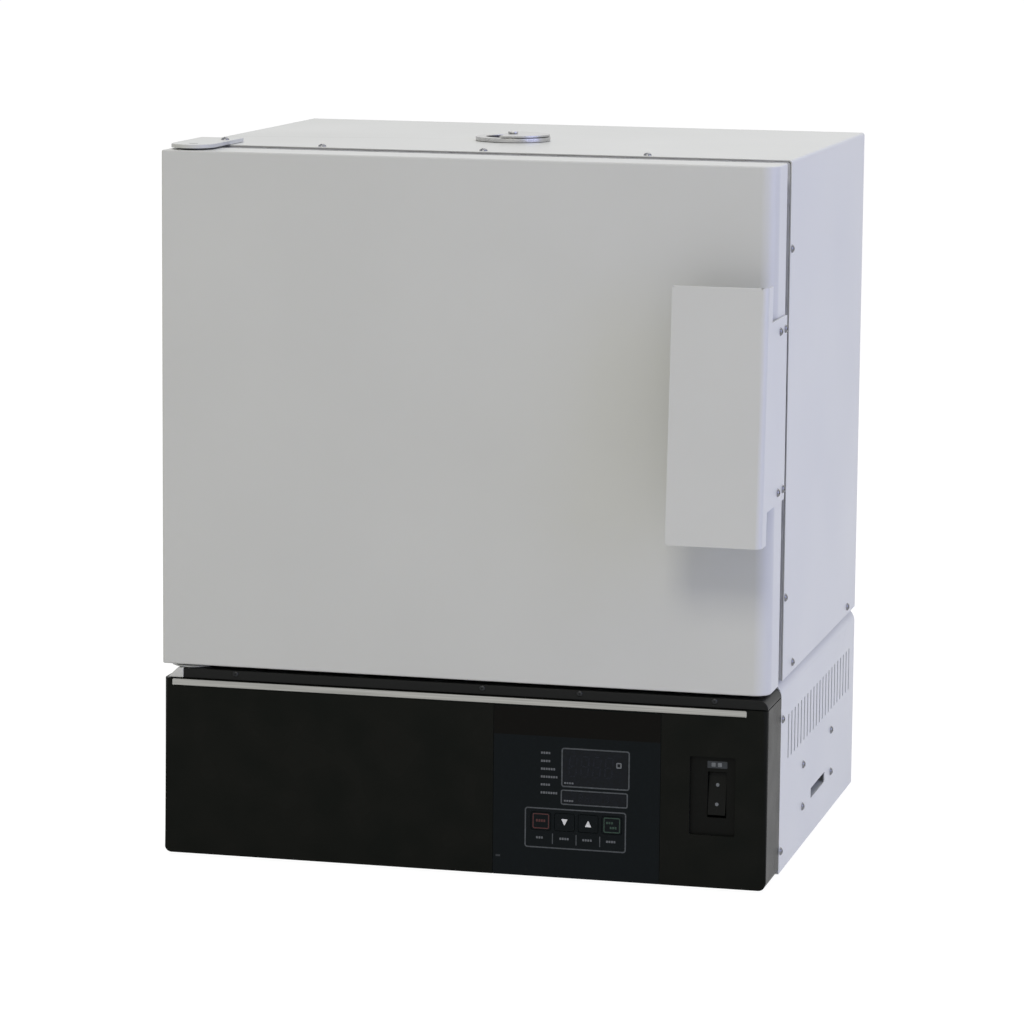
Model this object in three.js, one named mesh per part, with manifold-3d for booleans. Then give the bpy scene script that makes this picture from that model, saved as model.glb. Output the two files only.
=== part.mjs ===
// A bench-top laboratory drying oven: an insulated cabinet with a hinged front door, standing on
// a base box that holds the controls. Millimetres, +Z up, the front faces -Y.
import * as THREE from 'three';
import { mergeVertices } from 'three/addons/utils/BufferGeometryUtils.js';
import Module from 'manifold-3d';

const wasm = await Module();
wasm.setup();

// Driving dimensions of the whole oven.
const ovenWidth = 530;
const doorThickness = 45;
const doorGap = 20;
const cabinetDepth = 376;
const cabinetHeight = 442.6;
const baseHeight = 167.4;
const footHeight = 4;
const chamberWidth = 300;
const chamberHeight = 250;
const chamberDepth = 270;

// Sheet thicknesses and clearances that many pieces share.
const paintedSheet = 1.2;
const stainlessSheet = 1;
const seatGap = 0.3;
const runningGap = 0.4;
const runningFit = 0.08;
const overrun = 2;
const arcSteps = 3;
const slotSteps = 1;
const roundSteps = 24;

// Planes that follow from the driving dimensions. The door's front plane is y = 0 here.
const halfWidth = ovenWidth / 2;
const cabinetFront = doorThickness + doorGap;
const rearFace = cabinetFront + cabinetDepth;
const baseTop = footHeight + baseHeight;
const cabinetBottom = baseTop + runningGap;
const cabinetTop = cabinetBottom + cabinetHeight;
const insideWidth = halfWidth - paintedSheet - seatGap;

// Colours and finishes of the real surfaces.
const finishes = {
  paint: new THREE.MeshStandardMaterial({ color: '#c9cac7', roughness: 0.35, metalness: 0.05 }),
  black: new THREE.MeshStandardMaterial({ color: '#1b1c1a', roughness: 0.2, metalness: 0 }),
  charcoal: new THREE.MeshStandardMaterial({ color: '#3a3b3d', roughness: 0.45, metalness: 0 }),
  membrane: new THREE.MeshStandardMaterial({ color: '#15191b', roughness: 0.5, metalness: 0 }),
  aluminium: new THREE.MeshStandardMaterial({ color: '#a9a9a4', roughness: 0.35, metalness: 0.9 }),
  stainless: new THREE.MeshStandardMaterial({ color: '#b9bbbd', roughness: 0.3, metalness: 1 }),
  zinc: new THREE.MeshStandardMaterial({ color: '#9a9c9e', roughness: 0.4, metalness: 0.9 }),
  steel: new THREE.MeshStandardMaterial({ color: '#6d6e70', roughness: 0.45, metalness: 0.9 }),
  wool: new THREE.MeshStandardMaterial({ color: '#e4dfd2', roughness: 1, metalness: 0 }),
  fibre: new THREE.MeshStandardMaterial({ color: '#d8d2c0', roughness: 0.95, metalness: 0 }),
  ceramic: new THREE.MeshStandardMaterial({ color: '#ece9e0', roughness: 0.4, metalness: 0 }),
  rubber: new THREE.MeshStandardMaterial({ color: '#1e1e1e', roughness: 0.85, metalness: 0 }),
  board: new THREE.MeshStandardMaterial({ color: '#1f5a36', roughness: 0.5, metalness: 0 }),
};

// A closed geometry as a solid that can be joined and cut.
function solidOf(geometry) {
  const bare = geometry.clone();
  bare.deleteAttribute('normal');
  bare.deleteAttribute('uv');
  const merged = mergeVertices(bare);
  return new wasm.Manifold(new wasm.Mesh({
    numProp: 3,
    vertProperties: new Float32Array(merged.attributes.position.array),
    triVerts: new Uint32Array(merged.index.array),
  }));
}

// A solid turned back into a flat-shaded geometry.
function geometryOf(solid) {
  const mesh = solid.getMesh();
  const geometry = new THREE.BufferGeometry();
  geometry.setAttribute('position', new THREE.BufferAttribute(mesh.vertProperties, mesh.numProp));
  geometry.setIndex(new THREE.BufferAttribute(mesh.triVerts, 1));
  const flat = geometry.toNonIndexed();
  flat.computeVertexNormals();
  return flat;
}

// The first geometry with the others cut out of it.
function cut(body, ...tools) {
  let solid = solidOf(body);
  for (const tool of tools) solid = solid.subtract(solidOf(tool));
  return geometryOf(solid);
}

// All the geometries joined into one.
function join(body, ...others) {
  let solid = solidOf(body);
  for (const other of others) solid = solid.add(solidOf(other));
  return geometryOf(solid);
}

// What two geometries have in common.
function common(body, other) {
  return geometryOf(solidOf(body).intersect(solidOf(other)));
}

// A box between two corners.
function box(x0, x1, y0, y1, z0, z1) {
  const geometry = new THREE.BoxGeometry(x1 - x0, y1 - y0, z1 - z0);
  return geometry.translate((x0 + x1) / 2, (y0 + y1) / 2, (z0 + z1) / 2);
}

// An outline in X and Y raised from z0 to z1.
function raise(shape, z0, z1, curveSegments = arcSteps) {
  const geometry = new THREE.ExtrudeGeometry(shape, { depth: z1 - z0, bevelEnabled: false, curveSegments });
  return geometry.translate(0, 0, z0);
}

// An outline in X and Z run back from y0 to y1.
function runBack(shape, y0, y1, curveSegments = arcSteps) {
  const geometry = new THREE.ExtrudeGeometry(shape, { depth: y1 - y0, bevelEnabled: false, curveSegments });
  return geometry.rotateX(Math.PI / 2).translate(0, y1, 0);
}

// An outline in Y and Z run across from x0 to x1.
function runAcross(shape, x0, x1, curveSegments = arcSteps) {
  const geometry = new THREE.ExtrudeGeometry(shape, { depth: x1 - x0, bevelEnabled: false, curveSegments });
  const turn = new THREE.Matrix4().makeBasis(
    new THREE.Vector3(0, 1, 0), new THREE.Vector3(0, 0, 1), new THREE.Vector3(1, 0, 0));
  return geometry.applyMatrix4(turn).translate(x0, 0, 0);
}

// A rectangle between two corners with its own radius at each corner, in the order
// low-left, low-right, high-right, high-left.
function rounded(u0, u1, v0, v1, radii) {
  const [lowLeft, lowRight, highRight, highLeft] = radii;
  const shape = new THREE.Shape();
  shape.moveTo(u0 + lowLeft, v0);
  shape.lineTo(u1 - lowRight, v0);
  if (lowRight > 0) shape.absarc(u1 - lowRight, v0 + lowRight, lowRight, -Math.PI / 2, 0, false);
  shape.lineTo(u1, v1 - highRight);
  if (highRight > 0) shape.absarc(u1 - highRight, v1 - highRight, highRight, 0, Math.PI / 2, false);
  shape.lineTo(u0 + highLeft, v1);
  if (highLeft > 0) shape.absarc(u0 + highLeft, v1 - highLeft, highLeft, Math.PI / 2, Math.PI, false);
  shape.lineTo(u0, v0 + lowLeft);
  if (lowLeft > 0) shape.absarc(u0 + lowLeft, v0 + lowLeft, lowLeft, Math.PI, Math.PI * 1.5, false);
  return shape;
}

// The same radius at all four corners.
function evenRadii(radius) {
  return [radius, radius, radius, radius];
}

// Round bars: upright, front to back and side to side.
function upright(radius, x, y, z0, z1, steps = roundSteps) {
  const bar = new THREE.CylinderGeometry(radius, radius, z1 - z0, steps);
  return bar.rotateX(Math.PI / 2).translate(x, y, (z0 + z1) / 2);
}
function lengthwise(radius, x, z, y0, y1, steps = roundSteps) {
  const bar = new THREE.CylinderGeometry(radius, radius, y1 - y0, steps);
  return bar.translate(x, (y0 + y1) / 2, z);
}
function crosswise(radius, y, z, x0, x1, steps = roundSteps) {
  const bar = new THREE.CylinderGeometry(radius, radius, x1 - x0, steps);
  return bar.rotateZ(Math.PI / 2).translate((x0 + x1) / 2, y, z);
}

const oven = new THREE.Group();
const base = new THREE.Group();
const cabinet = new THREE.Group();
const door = new THREE.Group();
oven.add(base, cabinet, door);

// A named piece put into one of the oven's groups.
function place(group, name, geometry, finish) {
  const mesh = new THREE.Mesh(geometry, finishes[finish]);
  mesh.name = name;
  group.add(mesh);
  return mesh;
}

// A piece for the right side and its mirror image for the left.
function placePair(group, name, geometry, finish) {
  place(group, `${name}_right`, geometry, finish);
  place(group, `${name}_left`, geometry, finish).scale.x = -1;
}

// Front bezel: a glossy black moulding with two side returns, a window for the control panel that
// is open at the bottom edge, and a window for the mains breaker.
const bezelHeight = 154;
const bezelWall = 3;
const bezelReturn = 62;
const bezelCorner = 6;
const bezelTop = footHeight + bezelHeight;
const panelWidth = 145.5;
const panelInset = 91;
const panelDrop = 7;
const panelRight = halfWidth - panelInset;
const panelLeft = panelRight - panelWidth;
const panelTop = bezelTop - panelDrop;
const breakerInset = 27;
const breakerWidth = 39;
const breakerHeight = 67.5;
const breakerRise = 45;
const breakerCorner = 1.5;
const breakerRight = halfWidth - breakerInset;
const breakerLeft = breakerRight - breakerWidth;
const breakerBottom = footHeight + breakerRise;
const breakerTop = breakerBottom + breakerHeight;

function frontBezel() {
  const outer = runBack(rounded(-halfWidth, halfWidth, footHeight, bezelTop,
    [bezelCorner, bezelCorner, 0, 0]), 0, bezelReturn);
  const inside = box(-halfWidth + bezelWall, halfWidth - bezelWall, bezelWall, bezelReturn + overrun,
    footHeight - overrun, bezelTop - bezelWall);
  const panelWindow = box(panelLeft, panelRight, -overrun, bezelWall + overrun, footHeight - overrun,
    panelTop);
  const breakerHole = runBack(rounded(breakerLeft, breakerRight, breakerBottom, breakerTop,
    evenRadii(breakerCorner)), -overrun, bezelWall + overrun);
  return cut(outer, inside, panelWindow, breakerHole);
}
place(base, 'front_bezel', frontBezel(), 'black');

// Trim strip: extruded aluminium along the bezel's top front edge, its corners just eased.
const trimHeight = 5.7;
const trimThickness = 1.5;
const trimInsetLeft = 8;
const trimInsetRight = 18;
const trimCorner = 1.2;
const trimTop = bezelTop - seatGap;
const trimOutline = rounded(-halfWidth + trimInsetLeft, halfWidth - trimInsetRight, trimTop - trimHeight,
  trimTop, evenRadii(trimCorner));
place(base, 'trim_strip', runBack(trimOutline, -seatGap - trimThickness, -seatGap), 'aluminium');

// Front rail: the black sill between bezel and door, hollow below, with its right end rounded.
const railClearance = 4.5;
const railBottom = bezelTop + runningGap;
const railTop = baseTop - railClearance;
const railFront = 1;
const railWall = 2;
const railHeight = railTop - railBottom;
const hingeEndWidth = 17.2;
const railLeft = -halfWidth + hingeEndWidth;

function frontRail() {
  const outer = runBack(rounded(railLeft, halfWidth, railBottom, railTop, [0, 0, railHeight, 0]),
    railFront, bezelReturn);
  const inside = box(railLeft + railWall, halfWidth - railHeight, railFront + railWall,
    bezelReturn - railWall, railBottom - overrun, railTop - railWall);
  return cut(outer, inside);
}
place(base, 'front_rail', frontRail(), 'charcoal');

// Base chassis: a folded steel tray. Its front is narrower, to clear the bezel's round corners.
const chassisSheet = 1.5;
const chassisWall = 14;
const chassisFront = bezelWall + seatGap;
const chassisRear = rearFace - paintedSheet - seatGap * 2;
const chassisFloor = footHeight + chassisSheet;
const chassisFrontHalf = halfWidth - bezelCorner - seatGap;
const footRadius = 14;
const footStem = 3;
const footInsetSide = 64;
const footInsetEnd = 48;
const footPlaces = [];
for (const [side, x] of [['left', -halfWidth + footInsetSide], ['right', halfWidth - footInsetSide]]) {
  for (const [end, y] of [['front', footInsetEnd], ['rear', rearFace - footInsetEnd]]) {
    footPlaces.push({ name: `foot_${end}_${side}`, x, y });
  }
}

function baseChassis() {
  const outer = box(-insideWidth, insideWidth, chassisFront, chassisRear, footHeight,
    footHeight + chassisWall);
  const inside = box(-insideWidth + chassisSheet, insideWidth - chassisSheet, chassisFront + chassisSheet,
    chassisRear - chassisSheet, chassisFloor, footHeight + chassisWall + overrun);
  const notchRear = bezelReturn + seatGap;
  const notches = [-1, 1].map((side) => box(
    Math.min(side * chassisFrontHalf, side * (halfWidth + overrun)),
    Math.max(side * chassisFrontHalf, side * (halfWidth + overrun)),
    chassisFront - overrun, notchRear, footHeight - overrun, footHeight + chassisWall + overrun));
  const holes = footPlaces.map(({ x, y }) => upright(footStem + seatGap, x, y,
    footHeight - overrun, chassisFloor + overrun));
  return cut(outer, inside, ...notches, ...holes);
}
place(base, 'base_chassis', baseChassis(), 'zinc');

// Feet: turned rubber discs whose stems pass through the chassis floor.
const footEdge = 1.2;
const footStemLength = 9;
const footProfile = [
  new THREE.Vector2(0, 0),
  new THREE.Vector2(footRadius - footEdge, 0),
  new THREE.Vector2(footRadius, footEdge),
  new THREE.Vector2(footRadius, footHeight - seatGap),
  new THREE.Vector2(footStem, footHeight - seatGap),
  new THREE.Vector2(footStem, footHeight + footStemLength),
  new THREE.Vector2(0, footHeight + footStemLength),
];
for (const { name, x, y } of footPlaces) {
  const foot = new THREE.LatheGeometry(footProfile, roundSteps).rotateX(Math.PI / 2);
  place(base, name, foot, 'rubber').position.set(x, y, 0);
}

// Base side covers: painted sheet, rolled over at the top, with a row of upright vent slots and a
// long slot that opens into the carrying grip.
const shoulderRadius = 13.4;
const coverFlange = 22;
const coverFront = bezelReturn + seatGap;
const shoulderCentre = halfWidth - shoulderRadius;
const ventCount = 21;
const ventPitch = 15.7;
const ventWidth = 4;
const ventHeight = 39;
const ventRise = 93.7;
const ventFirst = 36.7;
const ventBottom = footHeight + ventRise;
const gripSetback = 155;
const gripLength = 72;
const gripRise = 32.8;
const gripHeight = 9.1;
const gripCorner = 1.5;
const gripFront = coverFront + gripSetback;
const gripRear = gripFront + gripLength;
const gripBottom = footHeight + gripRise;
const gripTop = gripBottom + gripHeight;

function sideCover() {
  const shape = new THREE.Shape();
  const shoulderZ = baseTop - shoulderRadius;
  shape.moveTo(halfWidth, footHeight);
  shape.lineTo(halfWidth, shoulderZ);
  shape.absarc(shoulderCentre, shoulderZ, shoulderRadius, 0, Math.PI / 2, false);
  shape.lineTo(shoulderCentre - coverFlange, baseTop);
  shape.lineTo(shoulderCentre - coverFlange, baseTop - paintedSheet);
  shape.lineTo(shoulderCentre, baseTop - paintedSheet);
  shape.absarc(shoulderCentre, shoulderZ, shoulderRadius - paintedSheet, Math.PI / 2, 0, true);
  shape.lineTo(halfWidth - paintedSheet, footHeight);
  const tools = [];
  for (let i = 0; i < ventCount; i += 1) {
    const y = coverFront + ventFirst + i * ventPitch;
    tools.push(runAcross(rounded(y - ventWidth / 2, y + ventWidth / 2, ventBottom, ventBottom + ventHeight,
      evenRadii(ventWidth / 2)), halfWidth - paintedSheet - overrun, halfWidth + overrun, slotSteps));
  }
  tools.push(runAcross(rounded(gripFront, gripRear, gripBottom, gripTop, evenRadii(gripCorner)),
    halfWidth - paintedSheet - overrun, halfWidth + overrun, slotSteps));
  return cut(runBack(shape, coverFront, rearFace), ...tools);
}
placePair(base, 'base_side_cover', sideCover(), 'paint');

// Carrying grips: pressed cups on a flange behind each side cover's long slot.
const gripCupDepth = 18;
const gripCupMargin = 9;
const gripCupHeadroom = 18;
const gripFlangeSide = 42;
const gripFlangeBelow = 6;
const gripFlangeAbove = 33;

function carryGrip() {
  const flangeOut = insideWidth;
  const cupIn = flangeOut - gripCupDepth;
  const low = gripBottom - seatGap;
  const high = gripTop + gripCupHeadroom;
  const front = gripFront - gripCupMargin;
  const rear = gripRear + gripCupMargin;
  const flange = box(flangeOut - paintedSheet, flangeOut, gripFront - gripFlangeSide,
    gripRear + gripFlangeSide, low - gripFlangeBelow, gripTop + gripFlangeAbove);
  const cup = box(cupIn, flangeOut, front, rear, low - paintedSheet, high + paintedSheet);
  const hollow = box(cupIn + paintedSheet, flangeOut + overrun, front + paintedSheet, rear - paintedSheet,
    low, high);
  return cut(join(flange, cup), hollow);
}
placePair(base, 'carry_grip', carryGrip(), 'zinc');

// Base supports: two folded channels that carry the cabinet's weight down to the chassis.
const supportInset = 28;
const supportFlange = 22;
const supportSetback = 13;
const supportWeb = halfWidth - supportInset;
const supportFront = coverFront + supportSetback;
const supportRear = chassisRear - supportSetback;

function baseSupport() {
  const low = chassisFloor + seatGap;
  const high = baseTop - paintedSheet - seatGap;
  const shape = new THREE.Shape();
  shape.moveTo(supportWeb, low);
  shape.lineTo(supportWeb, high);
  shape.lineTo(supportWeb - supportFlange, high);
  shape.lineTo(supportWeb - supportFlange, high - chassisSheet);
  shape.lineTo(supportWeb - chassisSheet, high - chassisSheet);
  shape.lineTo(supportWeb - chassisSheet, low + chassisSheet);
  shape.lineTo(supportWeb - supportFlange, low + chassisSheet);
  shape.lineTo(supportWeb - supportFlange, low);
  return runBack(shape, supportFront, supportRear);
}
placePair(base, 'base_support', baseSupport(), 'zinc');

// Base top plate: closes the base between the side covers' flanges, with a lip folded down behind
// the front rail.
const topPlateHalf = shoulderCentre - coverFlange - seatGap;
const topPlateLip = 14;

function baseTopPlate() {
  const plate = box(-topPlateHalf, topPlateHalf, coverFront, chassisRear, baseTop - paintedSheet, baseTop);
  const lipRear = coverFront + paintedSheet;
  const lipLow = baseTop - topPlateLip;
  const neck = box(-topPlateHalf, topPlateHalf, coverFront, lipRear, lipLow, baseTop);
  const lip = box(-shoulderCentre, shoulderCentre, coverFront, lipRear, lipLow,
    baseTop - paintedSheet - seatGap);
  return join(plate, neck, lip);
}
place(base, 'base_top_plate', baseTopPlate(), 'zinc');

// Base rear cover: sheet with two banks of vent slots and a hole for the cord gland.
const glandInset = 75;
const glandRise = 38;
const glandThread = 8;
const glandX = -halfWidth + glandInset;
const glandZ = footHeight + glandRise;
const rearVentCount = 9;
const rearVentPitch = 14;
const rearVentStart = 60;
const rearVentHeight = 44;

function baseRearCover() {
  const outline = rounded(-insideWidth, insideWidth, footHeight + seatGap,
    baseTop - paintedSheet - seatGap, [0, 0, shoulderRadius, shoulderRadius]);
  const plate = runBack(outline, rearFace - paintedSheet, rearFace);
  const tools = [lengthwise(glandThread + seatGap, glandX, glandZ, rearFace - paintedSheet - overrun,
    rearFace + overrun)];
  for (const side of [-1, 1]) {
    for (let i = 0; i < rearVentCount; i += 1) {
      const x = side * (rearVentStart + i * rearVentPitch);
      tools.push(runBack(rounded(x - ventWidth / 2, x + ventWidth / 2, ventBottom,
        ventBottom + rearVentHeight, evenRadii(ventWidth / 2)), rearFace - paintedSheet - overrun,
      rearFace + overrun, slotSteps));
    }
  }
  return cut(plate, ...tools);
}
place(base, 'base_rear_cover', baseRearCover(), 'paint');

// Cord gland: a turned nylon gland with its dome nut outside and its flange nut inside.
const glandBore = 4.6;
const glandNut = 11;
const glandProud = 9;
const glandInside = 12;
const glandNutThickness = 4;
const glandDome = 7;

function cordGland() {
  const y0 = rearFace - paintedSheet - seatGap;
  const y1 = rearFace + seatGap;
  const end = rearFace + glandProud;
  const profile = [
    new THREE.Vector2(glandBore, y0 - glandInside),
    new THREE.Vector2(glandThread, y0 - glandInside),
    new THREE.Vector2(glandThread, y0 - glandNutThickness),
    new THREE.Vector2(glandNut, y0 - glandNutThickness),
    new THREE.Vector2(glandNut, y0),
    new THREE.Vector2(glandThread, y0),
    new THREE.Vector2(glandThread, y1),
    new THREE.Vector2(glandNut, y1),
    new THREE.Vector2(glandNut, y1 + glandNutThickness),
    new THREE.Vector2(glandDome, end),
    new THREE.Vector2(glandBore, end),
    new THREE.Vector2(glandBore, y0 - glandInside),
  ];
  return new THREE.LatheGeometry(profile, roundSteps);
}
place(base, 'cord_gland', cordGland(), 'rubber').position.set(glandX, 0, glandZ);

// Control panel: the key and display plate in the bezel's window, flush with its face, with a hole
// for each of the four keys.
const panelRecess = 0.2;
const panelThickness = 3;
const keyCount = 4;
const keyWidth = 17;
const keyHeight = 15;
const keyPitch = 20.6;
const keyInset = 42.1;
const keyRise = 48.3;
const keyFirstX = panelLeft + keyInset;
const keyZ = footHeight + keyRise;
const keyCorner = 1.5;
const keyFlange = 1.6;
const keyFlangeThickness = 0.8;
const keyTravel = 0.5;
const panelRear = panelRecess + panelThickness;
const keyNames = ['key_stop', 'key_down', 'key_up', 'key_run'];

function keyOutline(grow) {
  return rounded(-keyWidth / 2 - grow, keyWidth / 2 + grow, -keyHeight / 2 - grow, keyHeight / 2 + grow,
    evenRadii(keyCorner + grow));
}

function controlPanel() {
  const plate = box(panelLeft + seatGap, panelRight - seatGap, panelRecess, panelRear, footHeight,
    panelTop - seatGap);
  const holes = [];
  for (let i = 0; i < keyCount; i += 1) {
    holes.push(runBack(keyOutline(runningGap), -overrun, panelRear + overrun, slotSteps)
      .translate(keyFirstX + i * keyPitch, 0, keyZ));
  }
  return cut(plate, ...holes);
}
place(base, 'control_panel', controlPanel(), 'membrane');

// Keys: flat caps in the panel's holes, each with a flange behind the panel that holds it in.
function keyCap() {
  const flangeFront = panelRear + seatGap;
  const cap = runBack(keyOutline(0), panelRecess, flangeFront + keyFlangeThickness / 2, slotSteps);
  const flange = runBack(keyOutline(keyFlange), flangeFront, flangeFront + keyFlangeThickness, slotSteps);
  return join(cap, flange);
}
keyNames.forEach((name, i) => {
  place(base, name, keyCap(), 'membrane').position.set(keyFirstX + i * keyPitch, 0, keyZ);
});

// Controller board behind the panel, with its display block in front and tall parts behind.
const boardThickness = 1.6;
const boardInset = 6;
const boardFront = panelRear + seatGap + keyFlangeThickness + keyTravel + seatGap;
const displayWidth = 51;
const displayHeight = 46;
const displayInset = 31;
const displayDrop = 31;
const boardPartWidth = 36;
const boardPartHeight = 30;
const boardPartDepth = 22;
const boardPartInset = 18;

function controllerBoard() {
  const left = panelLeft + boardInset;
  const bottom = footHeight + chassisWall + seatGap;
  const rear = boardFront + boardThickness;
  const board = box(left, panelRight - boardInset, boardFront, rear, bottom, panelTop - boardInset);
  const displayRight = panelRight - displayInset;
  const displayTop = panelTop - displayDrop;
  const display = box(displayRight - displayWidth, displayRight, panelRear + seatGap,
    boardFront + boardThickness / 2, displayTop - displayHeight, displayTop);
  const partLeft = left + boardPartInset;
  const partBottom = bottom + boardPartInset;
  const block = box(partLeft, partLeft + boardPartWidth, rear - boardThickness / 2, rear + boardPartDepth,
    partBottom, partBottom + boardPartHeight);
  return join(board, display, block);
}
place(base, 'controller_board', controllerBoard(), 'board');

// Mains breaker: a black body behind the bezel's window, with a pocket for its rocker.
const breakerMargin = 3;
const breakerDepth = 44;
const rockerOffset = 3.4;
const rockerRise = 34.6;
const rockerX = (breakerLeft + breakerRight) / 2 + rockerOffset;
const rockerZ = breakerBottom + rockerRise;
const rockerWidth = 15;
const rockerLength = 36;
const rockerFrontOffset = 4;
const rockerBackOffset = 1.5;
const rockerBelly = 7;
const rockerTilt = 10;
const rockerPivotDepth = 5.5;
const pocketDepth = 15;
const pocketSide = 0.5;
const pocketEnd = 1.6;
const breakerFront = bezelWall + seatGap;
const rockerY = breakerFront + rockerPivotDepth;
const rockerPin = 1.6;

function breakerBody() {
  const body = box(breakerLeft - breakerMargin, breakerRight + breakerMargin, breakerFront,
    breakerFront + breakerDepth, breakerBottom - breakerMargin, breakerTop + breakerMargin);
  const pocketHalf = rockerWidth / 2 + pocketSide;
  const pocketReach = rockerLength / 2 + pocketEnd;
  const pocket = box(rockerX - pocketHalf, rockerX + pocketHalf, breakerFront - overrun,
    breakerFront + pocketDepth, rockerZ - pocketReach, rockerZ + pocketReach);
  const pin = crosswise(rockerPin, rockerY, rockerZ, rockerX - pocketHalf - pocketSide,
    rockerX + pocketHalf + pocketSide);
  return join(cut(body, pocket), pin);
}
place(base, 'breaker_body', breakerBody(), 'black');

// Breaker rocker: turns on the body's pin. It is made level and then tilted to its rest place.
function breakerRocker() {
  const half = rockerLength / 2;
  const shape = new THREE.Shape();
  shape.moveTo(-rockerFrontOffset, -half);
  shape.lineTo(rockerBackOffset, -half);
  shape.lineTo(rockerBelly, -rockerBelly);
  shape.lineTo(rockerBelly, rockerBelly);
  shape.lineTo(rockerBackOffset, half);
  shape.lineTo(-rockerFrontOffset, half);
  const body = runAcross(shape, -rockerWidth / 2, rockerWidth / 2);
  const bore = crosswise(rockerPin + runningFit, 0, 0, -rockerWidth, rockerWidth);
  return cut(body, bore);
}
const rocker = place(base, 'breaker_rocker', breakerRocker(), 'black');
rocker.position.set(rockerX, rockerY, rockerZ);
rocker.rotation.x = THREE.MathUtils.degToRad(-rockerTilt);

// Solid state relay on its finned heat sink, and the mains transformer, both on the chassis floor.
const electricsSeat = chassisFloor + seatGap;
const relayInset = 113.5;
const relayX = -insideWidth + relayInset;
const relaySetback = 88;
const sinkWidth = 70;
const sinkDepth = 90;
const sinkPlate = 6;
const finHeight = 22;
const finWidth = 2.4;
const finCount = 8;
const relayWidth = 45;
const relayDepth = 58;
const relayHeight = 26;

function relayHeatSink() {
  const plateLow = electricsSeat + finHeight;
  const plateHigh = plateLow + sinkPlate;
  const parts = [box(-sinkWidth / 2, sinkWidth / 2, -sinkDepth / 2, sinkDepth / 2, plateLow, plateHigh)];
  const pitch = (sinkWidth - finWidth) / (finCount - 1);
  for (let i = 0; i < finCount; i += 1) {
    const x = -sinkWidth / 2 + i * pitch;
    parts.push(box(x, x + finWidth, -sinkDepth / 2, sinkDepth / 2, electricsSeat, plateLow + sinkPlate / 2));
  }
  parts.push(box(-relayWidth / 2, relayWidth / 2, -relayDepth / 2, relayDepth / 2, plateHigh - sinkPlate / 2,
    plateHigh + relayHeight));
  return join(...parts);
}
place(base, 'relay_heat_sink', relayHeatSink(), 'aluminium')
  .position.set(relayX, coverFront + relaySetback, 0);

const transformerX = 90;
const transformerSetback = 110;
const coreWidth = 76;
const coreDepth = 50;
const coreHeight = 64;
const coilWidth = 42;
const coilDepth = 74;
const coilInset = 9;

function mainsTransformer() {
  const core = box(-coreWidth / 2, coreWidth / 2, -coreDepth / 2, coreDepth / 2, electricsSeat,
    electricsSeat + coreHeight);
  const coil = runBack(rounded(-coilWidth / 2, coilWidth / 2, electricsSeat + coilInset,
    electricsSeat + coreHeight - coilInset, evenRadii(coilInset)), -coilDepth / 2, coilDepth / 2);
  return join(core, coil);
}
place(base, 'mains_transformer', mainsTransformer(), 'steel').position.set(transformerX,
  coverFront + transformerSetback, 0);

// Cabinet wrapper: one sheet bent over both sides and the top, with a hole for the exhaust duct.
const wrapperBend = 2.5;
const exhaustX = -11.3;
const exhaustSetback = 146;
const exhaustY = cabinetFront + exhaustSetback;
const ductOuter = 25.5;
const ductWall = 1.5;
const wrapperTopInside = cabinetTop - paintedSheet;

function cabinetWrapper() {
  const bendInside = wrapperBend - paintedSheet;
  const outer = runBack(rounded(-halfWidth, halfWidth, cabinetBottom, cabinetTop,
    [0, 0, wrapperBend, wrapperBend]), cabinetFront, rearFace);
  const inside = runBack(rounded(-halfWidth + paintedSheet, halfWidth - paintedSheet, cabinetBottom - overrun,
    wrapperTopInside, [0, 0, bendInside, bendInside]), cabinetFront - overrun, rearFace + overrun);
  const hole = upright(ductOuter + seatGap, exhaustX, exhaustY, wrapperTopInside - overrun,
    cabinetTop + overrun);
  return cut(outer, inside, hole);
}
place(cabinet, 'cabinet_wrapper', cabinetWrapper(), 'paint');

// Front frame: a folded tray around the chamber's mouth, its edges turned back for the screws.
const frameReturn = 20;
const frameBottom = cabinetBottom + seatGap;
const frameTop = wrapperTopInside - seatGap;
const chamberCentreZ = (cabinetBottom + cabinetTop) / 2;
const mouthLeft = -chamberWidth / 2;
const mouthBottom = chamberCentreZ - chamberHeight / 2;
const mouthTop = mouthBottom + chamberHeight;

function frontFrame() {
  const outer = runBack(rounded(-insideWidth, insideWidth, frameBottom, frameTop,
    [0, 0, wrapperBend, wrapperBend]), cabinetFront, cabinetFront + frameReturn, slotSteps);
  const inside = box(-insideWidth + paintedSheet, insideWidth - paintedSheet, cabinetFront + paintedSheet,
    cabinetFront + frameReturn + overrun, frameBottom + paintedSheet, frameTop - paintedSheet);
  const mouth = box(mouthLeft, -mouthLeft, cabinetFront - overrun, cabinetFront + paintedSheet + overrun,
    mouthBottom, mouthTop);
  return cut(outer, inside, mouth);
}
place(cabinet, 'front_frame', frontFrame(), 'zinc');

// Cabinet floor: a tray behind the front frame, its sides turned up inside the wrapper.
const floorReturn = 18;
const floorFront = cabinetFront + frameReturn + seatGap;
const floorRear = rearFace - paintedSheet - seatGap;

function cabinetFloor() {
  const outer = box(-insideWidth, insideWidth, floorFront, floorRear, cabinetBottom,
    cabinetBottom + floorReturn);
  const inside = box(-insideWidth + paintedSheet, insideWidth - paintedSheet, floorFront - overrun,
    floorRear + overrun, cabinetBottom + paintedSheet, cabinetBottom + floorReturn + overrun);
  return cut(outer, inside);
}
place(cabinet, 'cabinet_floor', cabinetFloor(), 'zinc');

// Cabinet rear panel: sheet let in between the wrapper's sides, with a row of vent slots that cool
// the wiring space.
const backVentCount = 17;
const backVentPitch = 16;
const backVentDrop = 60;
const backVentHeight = 30;

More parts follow.
